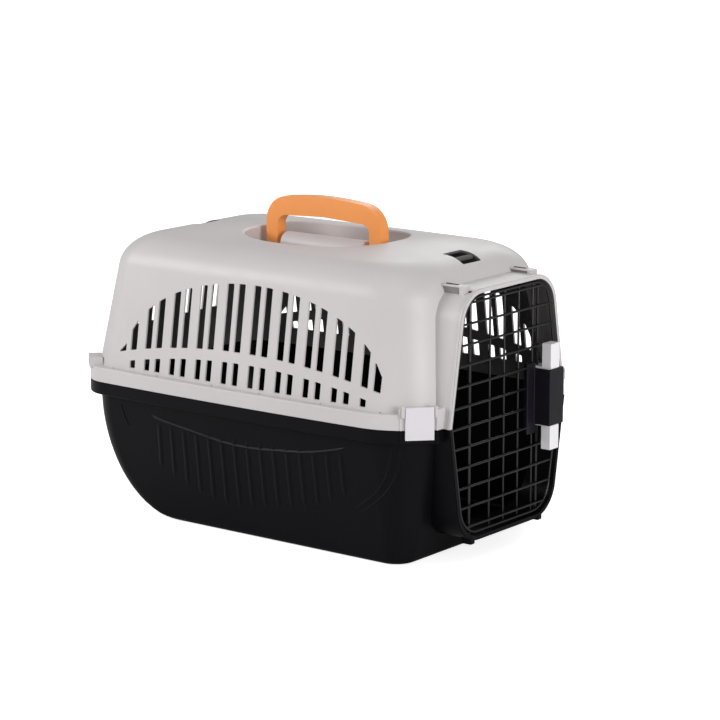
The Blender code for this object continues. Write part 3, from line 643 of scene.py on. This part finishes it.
def opening_prism(look=None):
    """Cutter for the way in through the door."""
    return prism_x("opening", collar_outline(0.0, "whole"), (COLLAR_ROOT_X - CUT, COLLAR_FRONT_X + CUT), look)


def corner_frame(front, side):
    """Frame at a corner, its X pointing out at 45 degrees (n), its Y along the corner's face (t)."""
    heading = math.atan2(side, 1.0 if front else -1.0)
    x, y = FRONT_CENTRE if front else REAR_CENTRE
    return Matrix.Translation((x, side * y, 0.0)) @ Matrix.Rotation(heading, 4, "Z")


def at_corner(matrix, n, t, z, rounding=0.0):
    """Block in a corner's frame."""
    return place(box("block", n, t, z, rounding), matrix)


def corner_step(side, z):
    """Block that fills in between the collar and the corner pad."""
    return box("step", (FRONT_CENTRE[0], STEP_FRONT_X), sorted(side * y for y in STEP_Y), z, STEP_ROUND)


def collar(half):
    """Door collar with a fine bead round its mouth."""
    neck = prism_x("collar", collar_outline(COLLAR_LIP, half), (COLLAR_ROOT_X, COLLAR_FRONT_X))
    mouth = (COLLAR_BEAD_X, COLLAR_FRONT_X - COLLAR_BEAD)
    return neck, prism_x("bead", collar_outline(COLLAR_LIP + COLLAR_BEAD, half), mouth)


def soften(target, width, angle=38.0, segments=2, weld=5e-7):
    """Round the edges that turn by more than that many degrees, and even out the shading."""
    bm = bmesh.new()
    bm.from_mesh(target.data)
    bmesh.ops.remove_doubles(bm, verts=bm.verts, dist=SAME_CORNER)
    bmesh.ops.dissolve_degenerate(bm, edges=bm.edges, dist=SAME_CORNER)
    bm.to_mesh(target.data)
    bm.free()
    target.data.shade_smooth()
    step = target.modifiers.new("edges", "BEVEL")
    step.width = width
    step.segments = segments
    step.limit_method = "ANGLE"
    step.angle_limit = math.radians(angle)
    step.use_clamp_overlap = True
    step.miter_outer = "MITER_ARC"
    if weld:
        merge = target.modifiers.new("merge", "WELD")
        merge.merge_threshold = weld
    even = target.modifiers.new("normals", "WEIGHTED_NORMAL")
    even.keep_sharp = True
    return target


def base_rings(skin):
    """Rings round the tub's rounded bottom edge, that far inside its outer skin."""
    angles = (math.radians(90.0 * step / BASE_STEPS) for step in range(BASE_STEPS + 1))
    return [tub_ring(skin + BASE_EDGE * (1.0 - math.cos(angle)), skin + BASE_EDGE * (1.0 - math.sin(angle)), skin)
            for angle in angles]


def make_lower_shell():
    """Tub with its flange, the collar's lower half, feet under the door, corner pads and rear hooks."""
    top = SEAM_Z - 0.5 * GAP
    rings = base_rings(0.0)
    rings += [tub_ring(z, 0.0) for z in (*TUB_LEVELS, SEAM_Z - FLANGE_SKIN)]
    rings.append(rim_ring(FLANGE_SKIN, SEAM_Z - FLANGE_SKIN))
    rings.append(rim_ring(FLANGE_SKIN, FLANGE_BOTTOM_Z + FLANGE_INNER_ROUND))
    rings.append(rim_ring(FLANGE_SKIN - FLANGE_INNER_ROUND, FLANGE_BOTTOM_Z))
    rings += [rim_ring(inset, FLANGE_BOTTOM_Z + rise) for inset, rise in rounded_edge(FLANGE_ROUND)]
    rings += [rim_ring(0.0, top - RIM_CHAMFER), rim_ring(RIM_CHAMFER, top)]
    shell = loft("lower_moulding", rings, BLACK)
    join(shell, *collar("lower"))
    for y in FOOT_Y:
        join(shell, box("foot", FOOT_X, (y - FOOT_HALF_Y, y + FOOT_HALF_Y), FOOT_Z, FOOT_ROUND))
    low = (FLANGE_BOTTOM_Z, top)
    for side in (-1, 1):
        corner = corner_frame(True, side)
        join(shell, at_corner(corner, PAD_N, (-PAD_HALF_T, PAD_HALF_T), low, BLOCK_ROUND), corner_step(side, low))
    cut(shell, tub_cavity(), opening_prism())
    for side in (-1, 1):
        corner = corner_frame(True, side)
        catch_z = (CLIP_LIP_Z[0] - CATCH_SLACK, CLIP_LIP_Z[1] + CATCH_SLACK)
        half_t = CLIP_LIP_HALF_T + CATCH_SLACK
        cut(shell, at_corner(corner, (CATCH_N, PAD_N[1] + CUT), (-half_t, half_t), catch_z))
        rear = corner_frame(False, side)
        join(shell, at_corner(rear, HOOK_N, (-HOOK_HALF_T, HOOK_HALF_T), (HOOK_FOOT_Z, HOOK_TOP_Z), HOOK_ROUND))
    for y in (HINGE_Y, BOLT_Y):
        cut(shell, rod("socket", (ROD_X, y, SOCKET_BOTTOM_Z), (ROD_X, y, SEAM_Z), ROD_RADIUS + GAP))
    return soften(shell, SHELL_EDGE)


def rounded_edge(radius, steps=4):
    """Inset and rise of points round a lower outer edge."""
    for step in range(steps + 1):
        angle = 0.5 * math.pi * step / steps
        yield radius * (1.0 - math.sin(angle)), radius * (1.0 - math.cos(angle))


def tub_cavity():
    """Space inside the tub, open upwards."""
    rings = base_rings(WALL)
    rings += [tub_ring(z, WALL, WALL) for z in (*TUB_LEVELS[1:], SEAM_Z - FLANGE_SKIN)]
    top = [(x, y, SEAM_Z + CUT) for x, y, z in rings[-1]]
    return loft("cavity", rings + [top])


def make_upper_shell():
    """Roofed moulding with the collar's upper half, horns, pads, ears and towers, cut by its vents and pocket."""
    under = FLANGE_TOP_Z - FLANGE_SKIN
    base = SEAM_Z + 0.5 * GAP
    rings = [upper_ring(0.0, base), upper_ring(0.0, under)]
    rings += [rim_ring(FLANGE_SKIN, under), rim_ring(FLANGE_SKIN, base)]
    rings += [rim_ring(RIM_CHAMFER, base), rim_ring(0.0, base + RIM_CHAMFER)]
    rings += [rim_ring(inset, FLANGE_TOP_Z - rise) for inset, rise in reversed(list(rounded_edge(FLANGE_ROUND)))]
    rings += [upper_ring(inset, z) for inset, z in upper_profile(0.0)]
    shell = loft("upper_moulding", rings, PALE)
    join(shell, *collar("upper"))
    for y in HORN_Y:
        join(shell, horn(y))
    for side in (-1, 1):
        corner = corner_frame(True, side)
        high = (base, PAD_TOP_Z)
        join(shell, at_corner(corner, PAD_N, (-PAD_HALF_T, PAD_HALF_T), high, BLOCK_ROUND), corner_step(side, high))
        for t in (-1, 1):
            ear_t = sorted((t * EAR_T[0], t * EAR_T[1]))
            join(shell, at_corner(corner, EAR_N, ear_t, EAR_Z, BLOCK_ROUND))
        rear = corner_frame(False, side)
        tower_t = (-TOWER_HALF_T, TOWER_HALF_T)
        join(shell, at_corner(rear, TOWER_N, tower_t, (under, TOWER_TOP_Z), TOWER_ROUND))
    cut(shell, pocket("pocket", 0.0, POCKET_FLOOR_Z, True))
    # The cavity, the door's opening and the flange marks leave their faces in painted shade
    cut(shell, upper_cavity(), opening_prism(PAINTED_SHADE), gather("marks", flange_marks(), PAINTED_SHADE))
    join(shell, ridge())
    cut(shell, gather("slots", vent_cutters()), gather("rear_slots", rear_vent_cutters()))
    cut_details(shell)
    return soften(shell, SHELL_EDGE, weld=0.0)


def flange_marks():
    """Small round marks along the flange's top, sunk in and lined with painted shade."""
    marks = []
    for x in MARK_X:
        edge = max(edge_crossing([(a, b) for a, b, height in rim_ring(MARK_INSET, FLANGE_TOP_Z)], x, 0))
        for y in (-edge, edge):
            ends = (x, y, FLANGE_TOP_Z - MARK_DEPTH), (x, y, FLANGE_TOP_Z + CUT)
            marks.append(rod("mark", *ends, MARK_RADIUS))
    return marks


def horn(y):
    """Guide rail over the door's rod, with a channel along its top and hollowed sides, both lined with painted shade.
    """
    rail = box("horn", HORN_X, (y - HORN_HALF_Y, y + HORN_HALF_Y), HORN_Z, BLOCK_ROUND, PALE)
    channel = (y - CHANNEL_HALF_Y, y + CHANNEL_HALF_Y)
    along = (HORN_X[0] - CUT, HORN_X[1] - CHANNEL_STOP)
    cut(rail, box("channel", along, channel, (HORN_Z[1] - CHANNEL_DEPTH, HORN_Z[1] + CUT), RECESS_ROUND, PAINTED_SHADE))
    for side in (-1, 1):
        hollow = sorted((y + side * HOLLOW_Y, y + side * (HORN_HALF_Y + CUT)))
        cut(rail, box("hollow", HOLLOW_X, hollow, HOLLOW_Z, RECESS_ROUND, PAINTED_HOLLOW_SHADE))
    return rail


def upper_cavity():
    """Space under the roof, clear of the pocket's wall and floor, which leaves the shell's inner faces in painted
    shade.
    """
    rings = [upper_ring(WALL, SEAM_Z - CUT)]
    rings += [upper_ring(inset, z) for inset, z in upper_profile(WALL)]
    cavity = loft("cavity", rings, PAINTED_SHADE)
    cut(cavity, pocket("pocket_wall", WALL, POCKET_FLOOR_Z - WALL, False))
    return cavity


def pocket_point(angle, grow):
    """Point on the pocket's superellipse, that far outside it."""
    across, along = math.cos(angle), math.sin(angle)
    stretch = (abs(across) ** POCKET_POWER + abs(along) ** POCKET_POWER) ** (-1.0 / POCKET_POWER)
    return (POCKET_HALF_LENGTH + grow) * across * stretch, (POCKET_HALF_WIDTH + grow) * along * stretch


def roof_z(x, y):
    """Height of the roof's crown there."""
    from_side = RIM_HALF_WIDTH - FLANGE_REACH + RIM_BOW * (1.0 - (x / RIM_HALF_LENGTH) ** 2) - abs(y)
    return crown_z(min(from_side, RIM_HALF_LENGTH - FLANGE_REACH - abs(x)))


def pocket(name, grow, floor, finished):
    """Oval column that sinks the handle's pocket. The finished one has a rounded floor edge and a rolled lip."""
    angles = [2.0 * math.pi * k / POCKET_POINTS for k in range(POCKET_POINTS)]

    def level(extra, height):
        return [(*pocket_point(angle, grow + extra), height) for angle in angles]

    if not finished:
        return loft(name, [level(0.0, floor), level(0.0, ROOF_CROWN_Z + CUT)])
    rings = []
    for step in range(POCKET_FILLET_STEPS + 1):
        turn = 0.5 * math.pi * step / POCKET_FILLET_STEPS
        rings.append(level(-POCKET_FILLET * (1.0 - math.sin(turn)), floor + POCKET_FILLET * (1.0 - math.cos(turn))))
    for step in range(POCKET_LIP_STEPS + 1):
        turn = 0.5 * math.pi * step / POCKET_LIP_STEPS
        ring = []
        for angle in angles:
            x, y = pocket_point(angle, grow + POCKET_LIP * (1.0 - math.cos(turn)))
            ring.append((x, y, roof_z(x, y) - POCKET_LIP * (1.0 - math.sin(turn))))
        rings.append(ring)
    rings.append([(x, y, z + POCKET_LIP_STEP) for x, y, z in rings[-1]])
    rings.append([(x, y, ROOF_CROWN_Z + CUT) for x, y, z in rings[-1]])
    return loft(name, rings)


def ridge():
    """Half-round bar across the pocket, with softened ends."""
    rings = []
    low = POCKET_FLOOR_Z - 0.5 * WALL
    stations = [(-RIDGE_HALF_LENGTH + run, shrink) for run, shrink in RIDGE_END]
    stations += [(-x, shrink) for x, shrink in reversed(stations)]
    for x, shrink in stations:
        half, top = RIDGE_HALF_WIDTH - shrink, RIDGE_TOP_Z - shrink
        outline = rounded_polygon([
            (half, low, 0.0), (half, top, half - GAP), (-half, top, half - GAP), (-half, low, 0.0)])
        rings.append([(x, y, z) for y, z in outline])
    return loft("ridge", rings)


def dome_z(x):
    """Height of the arch over the upper row of vents."""
    share = (x - DOME_MIDDLE_X) / DOME_HALF_LENGTH
    return DOME_BASE_Z + DOME_RISE * math.sqrt(max(0.0, 1.0 - share * share))


def band_z(x, middle_z):
    """Height of an edge of the band between the two rows, falling with the square of the distance in mm."""
    return middle_z - BAND_DROP * (x / MILLIMETRE) ** 2 * MILLIMETRE


def vent_outline(corners):
    """Slot outline with its corners rounded as far as its size allows."""
    shortest = min((Vector(a) - Vector(b)).length for a, b in zip(corners, corners[1:] + corners[:1]))
    radius = min(VENT_ROUND, VENT_ROUND_SHARE * shortest)
    return rounded_polygon([(x, z, radius) for x, z in corners], steps=VENT_ROUND_STEPS)


def vent_cutters():
    """Slots through both sides: tall ones under the arch, short ones under the band."""
    across = (-RIM_HALF_WIDTH - CUT, RIM_HALF_WIDTH + CUT)
    middles = [VENT_PAIR_PITCH * (k - 0.5 * (VENT_PAIRS - 1)) for k in range(VENT_PAIRS)]
    columns = [middle + side * VENT_PAIR_HALF for middle in middles for side in (-1, 1)]
    cutters = []
    for x in columns:
        low = [(edge, band_z(edge, BAND_TOP_Z)) for edge in (x - 0.5 * VENT_WIDTH, x + 0.5 * VENT_WIDTH)]
        high = [(edge, max(dome_z(edge), z + VENT_LEAST)) for edge, z in reversed(low)]
        cutters.append(prism_y("slot", vent_outline(low + high), across))
    for x in columns[1:-1]:
        left, right = x - 0.5 * LOWER_VENT_WIDTH, x + 0.5 * LOWER_VENT_WIDTH
        lower = [(left, VENT_SILL_Z), (right, VENT_SILL_Z),
                 (right, band_z(right, BAND_BOTTOM_Z)), (left, band_z(left, BAND_BOTTOM_Z))]
        cutters.append(prism_y("slot", vent_outline(lower), across))
    return cutters


def rear_vent_cutters():
    """Slots through the rear wall, shorter towards the sides."""
    outer = max(REAR_VENT_Y)
    cutters = []
    for y in REAR_VENT_Y:
        top = REAR_VENT_TOP_Z - REAR_VENT_DROP * (y / outer) ** 2
        left, right = y - 0.5 * LOWER_VENT_WIDTH, y + 0.5 * LOWER_VENT_WIDTH
        outline = vent_outline([(left, REAR_VENT_BOTTOM_Z), (right, REAR_VENT_BOTTOM_Z), (right, top), (left, top)])
        cutters.append(prism_x("slot", outline, REAR_VENT_X))
    return cutters


def cut_details(shell):
    """Bores, sockets, pin holes, hook slots and strap slots. The hook windows, the strap slots and their bars are in
    painted shade.
    """
    for end in (-1, 1):
        bore = (end * 0.5 * POCKET_HALF_LENGTH, 0.0, PIVOT_Z), (end * (POCKET_HALF_LENGTH - CUT), 0.0, PIVOT_Z)
        cut(shell, rod("bore", *bore, PIN_RADIUS + GAP))
    for y in (HINGE_Y, BOLT_Y):
        cut(shell, rod("socket", (ROD_X, y, SEAM_Z), (ROD_X, y, SOCKET_TOP_Z), ROD_RADIUS + GAP))
    middle = 0.5 * (CLIP_N[0] + CLIP_N[1])
    for side in (-1, 1):
        reach = EAR_T[1] + CUT
        hole = rod("hole", (middle, -reach, CLIP_PIVOT_Z), (middle, reach, CLIP_PIVOT_Z), CLIP_PIN_RADIUS + GAP)
        cut(shell, place(hole, corner_frame(True, side)))
        rear = corner_frame(False, side)
        slot_n = (HOOK_N[0] - HOOK_SLACK, HOOK_N[1] + HOOK_SLACK)
        slot_t = HOOK_HALF_T + HOOK_SLACK
        cut(shell, at_corner(rear, slot_n, (-slot_t, slot_t), (SEAM_Z - CUT, HOOK_TOP_Z + HOOK_SLACK)))
        window_n = (0.5 * (HOOK_N[0] + HOOK_N[1]), TOWER_N[1] + CUT)
        window_t = HOOK_HALF_T - HOOK_SLACK
        window = at_corner(rear, window_n, (-window_t, window_t), (WINDOW_Z, HOOK_TOP_Z))
        # The hook window's faces take painted shade
        window.data.materials.append(PAINTED_SHADE)
        cut(shell, window)
    for end in (-1, 1):
        x = sorted((end * (STRAP_X - STRAP_HALF_X), end * (STRAP_X + STRAP_HALF_X)))
        corners = ((x[0], -STRAP_HALF_Y), (x[1], -STRAP_HALF_Y), (x[1], STRAP_HALF_Y), (x[0], STRAP_HALF_Y))
        outline = rounded_polygon([(*corner, STRAP_CORNER) for corner in corners], STRAP_CORNER_STEPS)
        heights = (ROOF_EDGE_Z - 2.0 * CUT, ROOF_EDGE_Z + CUT)
        # The strap slot's walls and its bar are in painted shade
        cut(shell, loft("strap", [[(a, b, z) for a, b in outline] for z in heights], PAINTED_SHADE))
        reach = STRAP_HALF_Y + 0.5 * WALL
        ends = [(end * STRAP_X, y, STRAP_BAR_Z) for y in (-reach, reach)]
        join(shell, rod("bar", *ends, STRAP_BAR_RADIUS, look=PAINTED_SHADE))


lower = make_lower_shell()
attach(lower, "shells")
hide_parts("lower_shell")
upper = make_upper_shell()
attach(upper, "shells")
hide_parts("upper_shell")


def tube(bm, path, radius, closed=False, sides=16):
    """Add a round wire along a path, its open ends domed."""
    count = len(path)
    points = [Vector(point) for point in path]
    radii = [radius] * count
    if not closed:
        first = (points[0] - points[1]).normalized()
        last = (points[-1] - points[-2]).normalized()
        points[0] -= first * (radius * WIRE_END[-1][0])
        points[-1] -= last * (radius * WIRE_END[-1][0])
        points = ([points[0] + first * (radius * out) for out, thin in reversed(WIRE_END)] + points
                  + [points[-1] + last * (radius * out) for out, thin in WIRE_END])
        thinned = [radius * thin for out, thin in WIRE_END]
        radii = thinned[::-1] + radii + thinned
        count = len(points)
    reference = Vector((1.0, 0.0, 0.0))
    rows = []
    for i, point in enumerate(points):
        if closed:
            along = (points[(i + 1) % count] - points[i - 1]).normalized()
        else:
            along = (points[min(i + 1, count - 1)] - points[max(i - 1, 0)]).normalized()
        if abs(along.dot(reference)) > 0.9:
            reference = Vector((0.0, 1.0, 0.0))
        side = along.cross(reference).normalized()
        up = side.cross(along)
        row = []
        for k in range(sides):
            angle = 2.0 * math.pi * k / sides
            row.append(bm.verts.new(point + (up * math.cos(angle) + side * math.sin(angle)) * radii[i]))
        rows.append(row)
    for i in range(count if closed else count - 1):
        low, high = rows[i], rows[(i + 1) % count]
        for k in range(sides):
            j = (k + 1) % sides
            bm.faces.new((low[k], low[j], high[j], high[k]))
    if not closed:
        bm.faces.new(rows[0])
        bm.faces.new(rows[-1])


def straight(start, end, steps=4):
    """Evenly spaced points from one end to the other."""
    return [Vector(start).lerp(Vector(end), k / steps) for k in range(steps + 1)]


def side_point(x, z):
    """Y of the tub's outer wall there."""
    ring = [(a, b) for a, b, height in tub_ring(z, 0.0)]
    return max(edge_crossing(ring, x, 0))


def smooth_path(points, steps=8):
    """Points on a smooth curve through the given ones."""
    padded = [points[0], *points, points[-1]]
    path = []
    for a, b, c, d in zip(padded, padded[1:], padded[2:], padded[3:]):
        for k in range(steps):
            t = k / steps
            path.append(tuple(
                0.5 * (2 * q + (r - p) * t + (2 * p - 5 * q + 4 * r - s) * t * t + (3 * q - p - 3 * r + s) * t ** 3)
                for p, q, r, s in zip(a, b, c, d)))
    return path + [tuple(points[-1])]


def raised_strip(bm, path, side, half_width, height, taper):
    """Add a smooth raised strip along a path of (x, z) on a side wall, sinking into it at both ends."""
    points = [Vector((x, side * side_point(x, z), z)) for x, z in path]
    last = len(points) - 1
    rows = []
    for i, (x, z) in enumerate(path):
        along = (points[min(i + 1, last)] - points[max(i - 1, 0)]).normalized()
        lean = (side_point(x, z + STRIP_PROBE) - side_point(x, z - STRIP_PROBE)) / (2.0 * STRIP_PROBE)
        turn = (side_point(x + STRIP_PROBE, z) - side_point(x - STRIP_PROBE, z)) / (2.0 * STRIP_PROBE)
        outward = Vector((-turn, side, -lean)).normalized()
        across = along.cross(outward).normalized()
        rise = min(1.0, min(i, last - i) / (taper * last))
        rise = rise * rise * (3.0 - 2.0 * rise)
        row = []
        for k in range(STRIP_STEPS + 1):
            share = 2.0 * k / STRIP_STEPS - 1.0
            lift = height * rise * math.cos(0.5 * math.pi * share) ** 2 - STRIP_SUNK
            row.append(points[i] + across * (half_width * share) + outward * lift)
        for share in (STRIP_FOOT, -STRIP_FOOT):
            row.append(points[i] + across * (half_width * share) - outward * (3.0 * STRIP_SUNK))
        rows.append([bm.verts.new(point) for point in row])
    count = len(rows[0])
    for low, high in zip(rows, rows[1:]):
        for k in range(count):
            j = (k + 1) % count
            bm.faces.new((low[k], low[j], high[j], high[k]))
    bm.faces.new(rows[0])
    bm.faces.new(rows[-1])


def make_tub_relief():
    """Raised ribs and curved beads moulded on both sides of the tub, their feet sunk in its wall."""
    upper_arc = smooth_path([(-0.140, 0.123), (-0.124, 0.1185), (-0.077, 0.112), (-0.030, 0.106), (0.008, 0.105),
                             (0.047, 0.108), (0.086, 0.112), (0.124, 0.120), (0.147, 0.127)])
    lower_arc = smooth_path([(-0.140, 0.066), (-0.085, 0.038), (-0.037, 0.025), (-0.006, 0.027), (0.029, 0.033),
                             (0.061, 0.038), (0.088, 0.044), (0.115, 0.054), (0.140, 0.068)])
    outer_arc = smooth_path([(0.204, 0.134), (0.203, 0.118), (0.198, 0.098), (0.187, 0.080),
                             (0.171, 0.066), (0.152, 0.053)])
    inner_arc = [(x + INNER_ARC_X, z + INNER_ARC_Z) for x, z in outer_arc]
    rear_arc = smooth_path([(-0.184, 0.131), (-0.181, 0.118), (-0.174, 0.103)])
    bm = bmesh.new()
    for side in (-1, 1):
        raised_strip(bm, upper_arc, side, *ARC_STRIP)
        for arc in (outer_arc, inner_arc, rear_arc):
            raised_strip(bm, arc, side, *BEAD_STRIP)
        for k in range(RIBS):
            x = RIB_FIRST_X + RIB_PITCH * k
            top = max(edge_crossing(upper_arc, x, 0)) - RIB_TOP_GAP
            bottom = min(edge_crossing(lower_arc, x, 0))
            lean = RIB_LEAN * (x - RIB_MIDDLE_X)
            path = [(x + lean * (step / RIB_STEPS) ** 2, top + (bottom - top) * step / RIB_STEPS)
                    for step in range(RIB_STEPS + 1)]
            raised_strip(bm, path, side, *RIB_STRIP)
    return finish_object("tub_relief", bm, BLACK)


def make_floor_grip():
    """Low ribs across the tub's floor."""
    bm = bmesh.new()
    for k in range(FLOOR_RIBS):
        x = FLOOR_RIB_FIRST_X + FLOOR_RIB_PITCH * k
        ends = (x, -FLOOR_RIB_HALF_Y, FLOOR_RIB_Z), (x, FLOOR_RIB_HALF_Y, FLOOR_RIB_Z)
        tube(bm, straight(*ends, steps=2), FLOOR_RIB_RADIUS, sides=FLOOR_RIB_SIDES)
    return finish_object("floor_grip", bm, BLACK)


def make_grid():
    """Welded door grid: bent frame and cross wires, uprights and hinge rod behind, a weld at each crossing."""
    bm = bmesh.new()
    outline = collar_outline(-FRAME_INSET - LIP_CLEARANCE, "whole")
    tube(bm, [(WIRE_FRONT_X, y, z) for y, z in outline], WIRE_RADIUS, closed=True)
    uprights = [UPRIGHT_FIRST_Y + UPRIGHT_PITCH * k for k in range(UPRIGHTS)]
    welds = []
    for k in range(CROSS_WIRES):
        z = CROSS_FIRST_Z + CROSS_PITCH * k
        reach = max(edge_crossing(outline, z, 1)) + WIRE_OVERLAP
        beside = WING_Z[0] - WIRE_RADIUS < z < WING_Z[1] + WIRE_RADIUS
        right = WING_Y - GAP if beside else reach
        tube(bm, straight((WIRE_FRONT_X, -reach, z), (WIRE_FRONT_X, right, z)), WIRE_RADIUS)
        welds += [(y, z) for y in (*uprights, HINGE_Y) if y < right]
    for y in uprights:
        crossing = edge_crossing(outline, y, 0)
        ends = (WIRE_BACK_X, y, min(crossing)), (WIRE_BACK_X, y, max(crossing))
        tube(bm, straight(*ends), WIRE_RADIUS)
        welds += [(y, z) for z in crossing]
    ends = (ROD_X, HINGE_Y, SOCKET_BOTTOM_Z + GAP), (ROD_X, HINGE_Y, SOCKET_TOP_Z - GAP)
    tube(bm, straight(*ends), ROD_RADIUS)
    middle = 0.5 * (WIRE_FRONT_X + WIRE_BACK_X)
    around, down = WELD_SEGMENTS
    for y, z in welds:
        swollen = Matrix.Translation((middle, y, z)) @ Matrix.Diagonal(WELD_SWELL)
        bmesh.ops.create_uvsphere(bm, u_segments=around, v_segments=down, radius=WIRE_RADIUS, matrix=swollen)
    return finish_object("door_grid", bm, COATED)


def make_handle():
    """Arched grip with rounded edges, and a boss round each pin."""
    outline = rounded_polygon([
        (LEG_OUTER_X, PIVOT_Z, 0.0), (LEG_OUTER_X, HANDLE_SHOULDER_Z, HANDLE_CORNER),
        (0.0, HANDLE_TOP_Z, HANDLE_ARCH), (-LEG_OUTER_X, HANDLE_SHOULDER_Z, HANDLE_CORNER),
        (-LEG_OUTER_X, PIVOT_Z, 0.0), (-LEG_INNER_X, PIVOT_Z, 0.0),
        (-LEG_INNER_X, GRIP_UNDER_SIDE_Z, GRIP_INNER_CORNER), (0.0, GRIP_UNDER_Z, 0.0),
        (LEG_INNER_X, GRIP_UNDER_SIDE_Z, GRIP_INNER_CORNER), (LEG_INNER_X, PIVOT_Z, 0.0)])
    handle = prism_y("grip", outline, (-HANDLE_HALF_THICK, HANDLE_HALF_THICK))
    handle.data.materials.append(ORANGE)
    for end in (-1, 1):
        knuckle = (end * LEG_INNER_X, 0.0, PIVOT_Z), (end * LEG_OUTER_X, 0.0, PIVOT_Z)
        join(handle, rod("knuckle", *knuckle, HANDLE_HALF_THICK, KNUCKLE_SIDES))
        bore = (end * (LEG_INNER_X - 0.5 * CUT), 0.0, PIVOT_Z), (end * (LEG_OUTER_X + 0.5 * CUT), 0.0, PIVOT_Z)
        cut(handle, rod("bore", *bore, PIN_RADIUS + GAP, BORE_SIDES))
    return soften(handle, GRIP_EDGE, segments=4)


def softened_copy(node, name, look, width):
    """The CAD node's own shape with its edges rounded."""
    mesh = NODES[node].data.copy()
    mesh.name = name
    mesh.materials.clear()
    made = link_object(name, mesh, look)
    bm = bmesh.new()
    bm.from_mesh(mesh)
    bmesh.ops.remove_doubles(bm, verts=bm.verts, dist=SAME_CORNER)
    bmesh.ops.dissolve_limit(bm, angle_limit=FLAT_ANGLE, verts=bm.verts, edges=bm.edges)
    bm.to_mesh(mesh)
    bm.free()
    return soften(made, width, angle=30.0, segments=3)


def settle(piece, body, slot, *nodes):
    """Give a piece its body and hide the CAD nodes it stands for. The material slot is not used."""
    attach(piece, body)
    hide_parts(*nodes)


CROSS_NAMES = ["door_cross_wire_%02d" % (k + 1) for k in range(CROSS_WIRES)]
UPRIGHT_NAMES = ["door_upright_%d" % (k + 1) for k in range(UPRIGHTS)]
for relief in (make_tub_relief(), make_floor_grip()):
    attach(relief, "shells")
settle(make_grid(), "door", "coated_wire", "door_frame_wire", "door_hinge_rod", *CROSS_NAMES, *UPRIGHT_NAMES)
settle(make_handle(), "handle", "orange_handle", "handle")
for side in ("left", "right"):
    clip = softened_copy("clip_" + side, "swing_clip_" + side, WHITE, THIN_EDGE)
    settle(clip, "clip_" + side, "white_clip", "clip_" + side)
housing = softened_copy("latch_housing", "latch_body", LATCH_BLACK, LATCH_EDGE)
settle(housing, "door", "black_latch", "latch_housing")
plate = softened_copy("latch_back_plate", "latch_plate", LATCH_BLACK, THIN_EDGE)
settle(plate, "door", "black_latch", "latch_back_plate")
for end in ("top", "bottom"):
    tab = softened_copy("latch_tab_" + end, "squeeze_tab_" + end, TAB_WHITE, LATCH_EDGE)
    settle(tab, "latch_" + end, "white_clip", "latch_tab_" + end)

for name, look in (("latch_bolt_top", COATED), ("latch_bolt_bottom", COATED), ("latch_spring", STEEL),
                   ("clip_pin_left", STEEL), ("clip_pin_right", STEEL),
                   ("handle_pin_front", STEEL), ("handle_pin_rear", STEEL)):
    NODES[name].data.materials.clear()
    NODES[name].data.materials.append(look)


def split_rays(tree, to_others, to_camera, output):
    """Show one shader to camera rays and another to all the rest."""
    path = tree.nodes.new("ShaderNodeLightPath")
    either = tree.nodes.new("ShaderNodeMixShader")
    tree.links.new(path.outputs["Is Camera Ray"], either.inputs["Fac"])
    tree.links.new(to_others, either.inputs[1])
    tree.links.new(to_camera, either.inputs[2])
    tree.links.new(either.outputs["Shader"], tree.nodes[output].inputs["Surface"])


bpy.ops.mesh.primitive_plane_add(size=FLOOR_SIZE, location=(0.0, 0.0, FLOOR_Z))
floor = bpy.context.active_object
floor.name = "studio_floor"
paper = bpy.data.materials.new("studio_paper")
paper.use_nodes = True
paper_tree = paper.node_tree
sheet = paper_tree.nodes["Principled BSDF"]
sheet.inputs["Base Color"].default_value = PAPER
sheet.inputs["Roughness"].default_value = PAPER_ROUGHNESS
glow = add_node(paper_tree, "ShaderNodeEmission", Strength=FLOOR_GLOW)
lit = paper_tree.nodes.new("ShaderNodeAddShader")
paper_tree.links.new(sheet.outputs["BSDF"], lit.inputs[0])
paper_tree.links.new(glow.outputs["Emission"], lit.inputs[1])
split_rays(paper_tree, sheet.outputs["BSDF"], lit.outputs["Shader"], "Material Output")
floor.data.materials.append(paper)

world = bpy.data.worlds.new("studio")
world.use_nodes = True
ambient = world.node_tree.nodes["Background"]
ambient.inputs["Color"].default_value = (1.0, 1.0, 1.0, 1.0)
ambient.inputs["Strength"].default_value = AMBIENT
backdrop = add_node(world.node_tree, "ShaderNodeBackground", Color=(1.0, 1.0, 1.0, 1.0), Strength=1.0)
split_rays(world.node_tree, ambient.outputs["Background"], backdrop.outputs["Background"], "World Output")
bpy.context.scene.world = world


def face(thing, location, direction):
    """Put a light or camera at a place, looking along a direction."""
    thing.location = location
    thing.rotation_mode = "QUATERNION"
    thing.rotation_quaternion = direction.to_track_quat("-Z", "Y")
    bpy.context.scene.collection.objects.link(thing)


def softbox(name, location, target, size, power):
    data = bpy.data.lights.new(name, "AREA")
    data.shape = "RECTANGLE"
    data.size, data.size_y = size
    data.energy = power
    face(bpy.data.objects.new(name, data), location, Vector(target) - Vector(location))


softbox("key", (-2.2, -2.3, 1.50), AIM, (1.3, 1.1), 60.0)
softbox("fill", (2.9, -0.8, 0.85), AIM, (1.2, 1.2), 46.0)
softbox("top", (0.0, 0.2, 2.4), HIGH_AIM, (1.8, 1.8), 6.0)
softbox("back", (-0.9, 2.4, 1.6), HIGH_AIM, (1.6, 1.2), 18.0)

level = math.cos(ELEVATION)
back = Vector((math.sin(AZIMUTH) * level, -math.cos(AZIMUTH) * level, math.sin(ELEVATION)))
lens = bpy.data.cameras.new("camera")
lens.lens = LENS
lens.sensor_width = SENSOR
lens.clip_start = 0.05
lens.clip_end = 60.0
camera = bpy.data.objects.new("camera", lens)
face(camera, Vector(CAMERA_TARGET) + back * CAMERA_DISTANCE, -back)
bpy.context.scene.camera = camera
bpy.context.scene.view_settings.view_transform = "Standard"
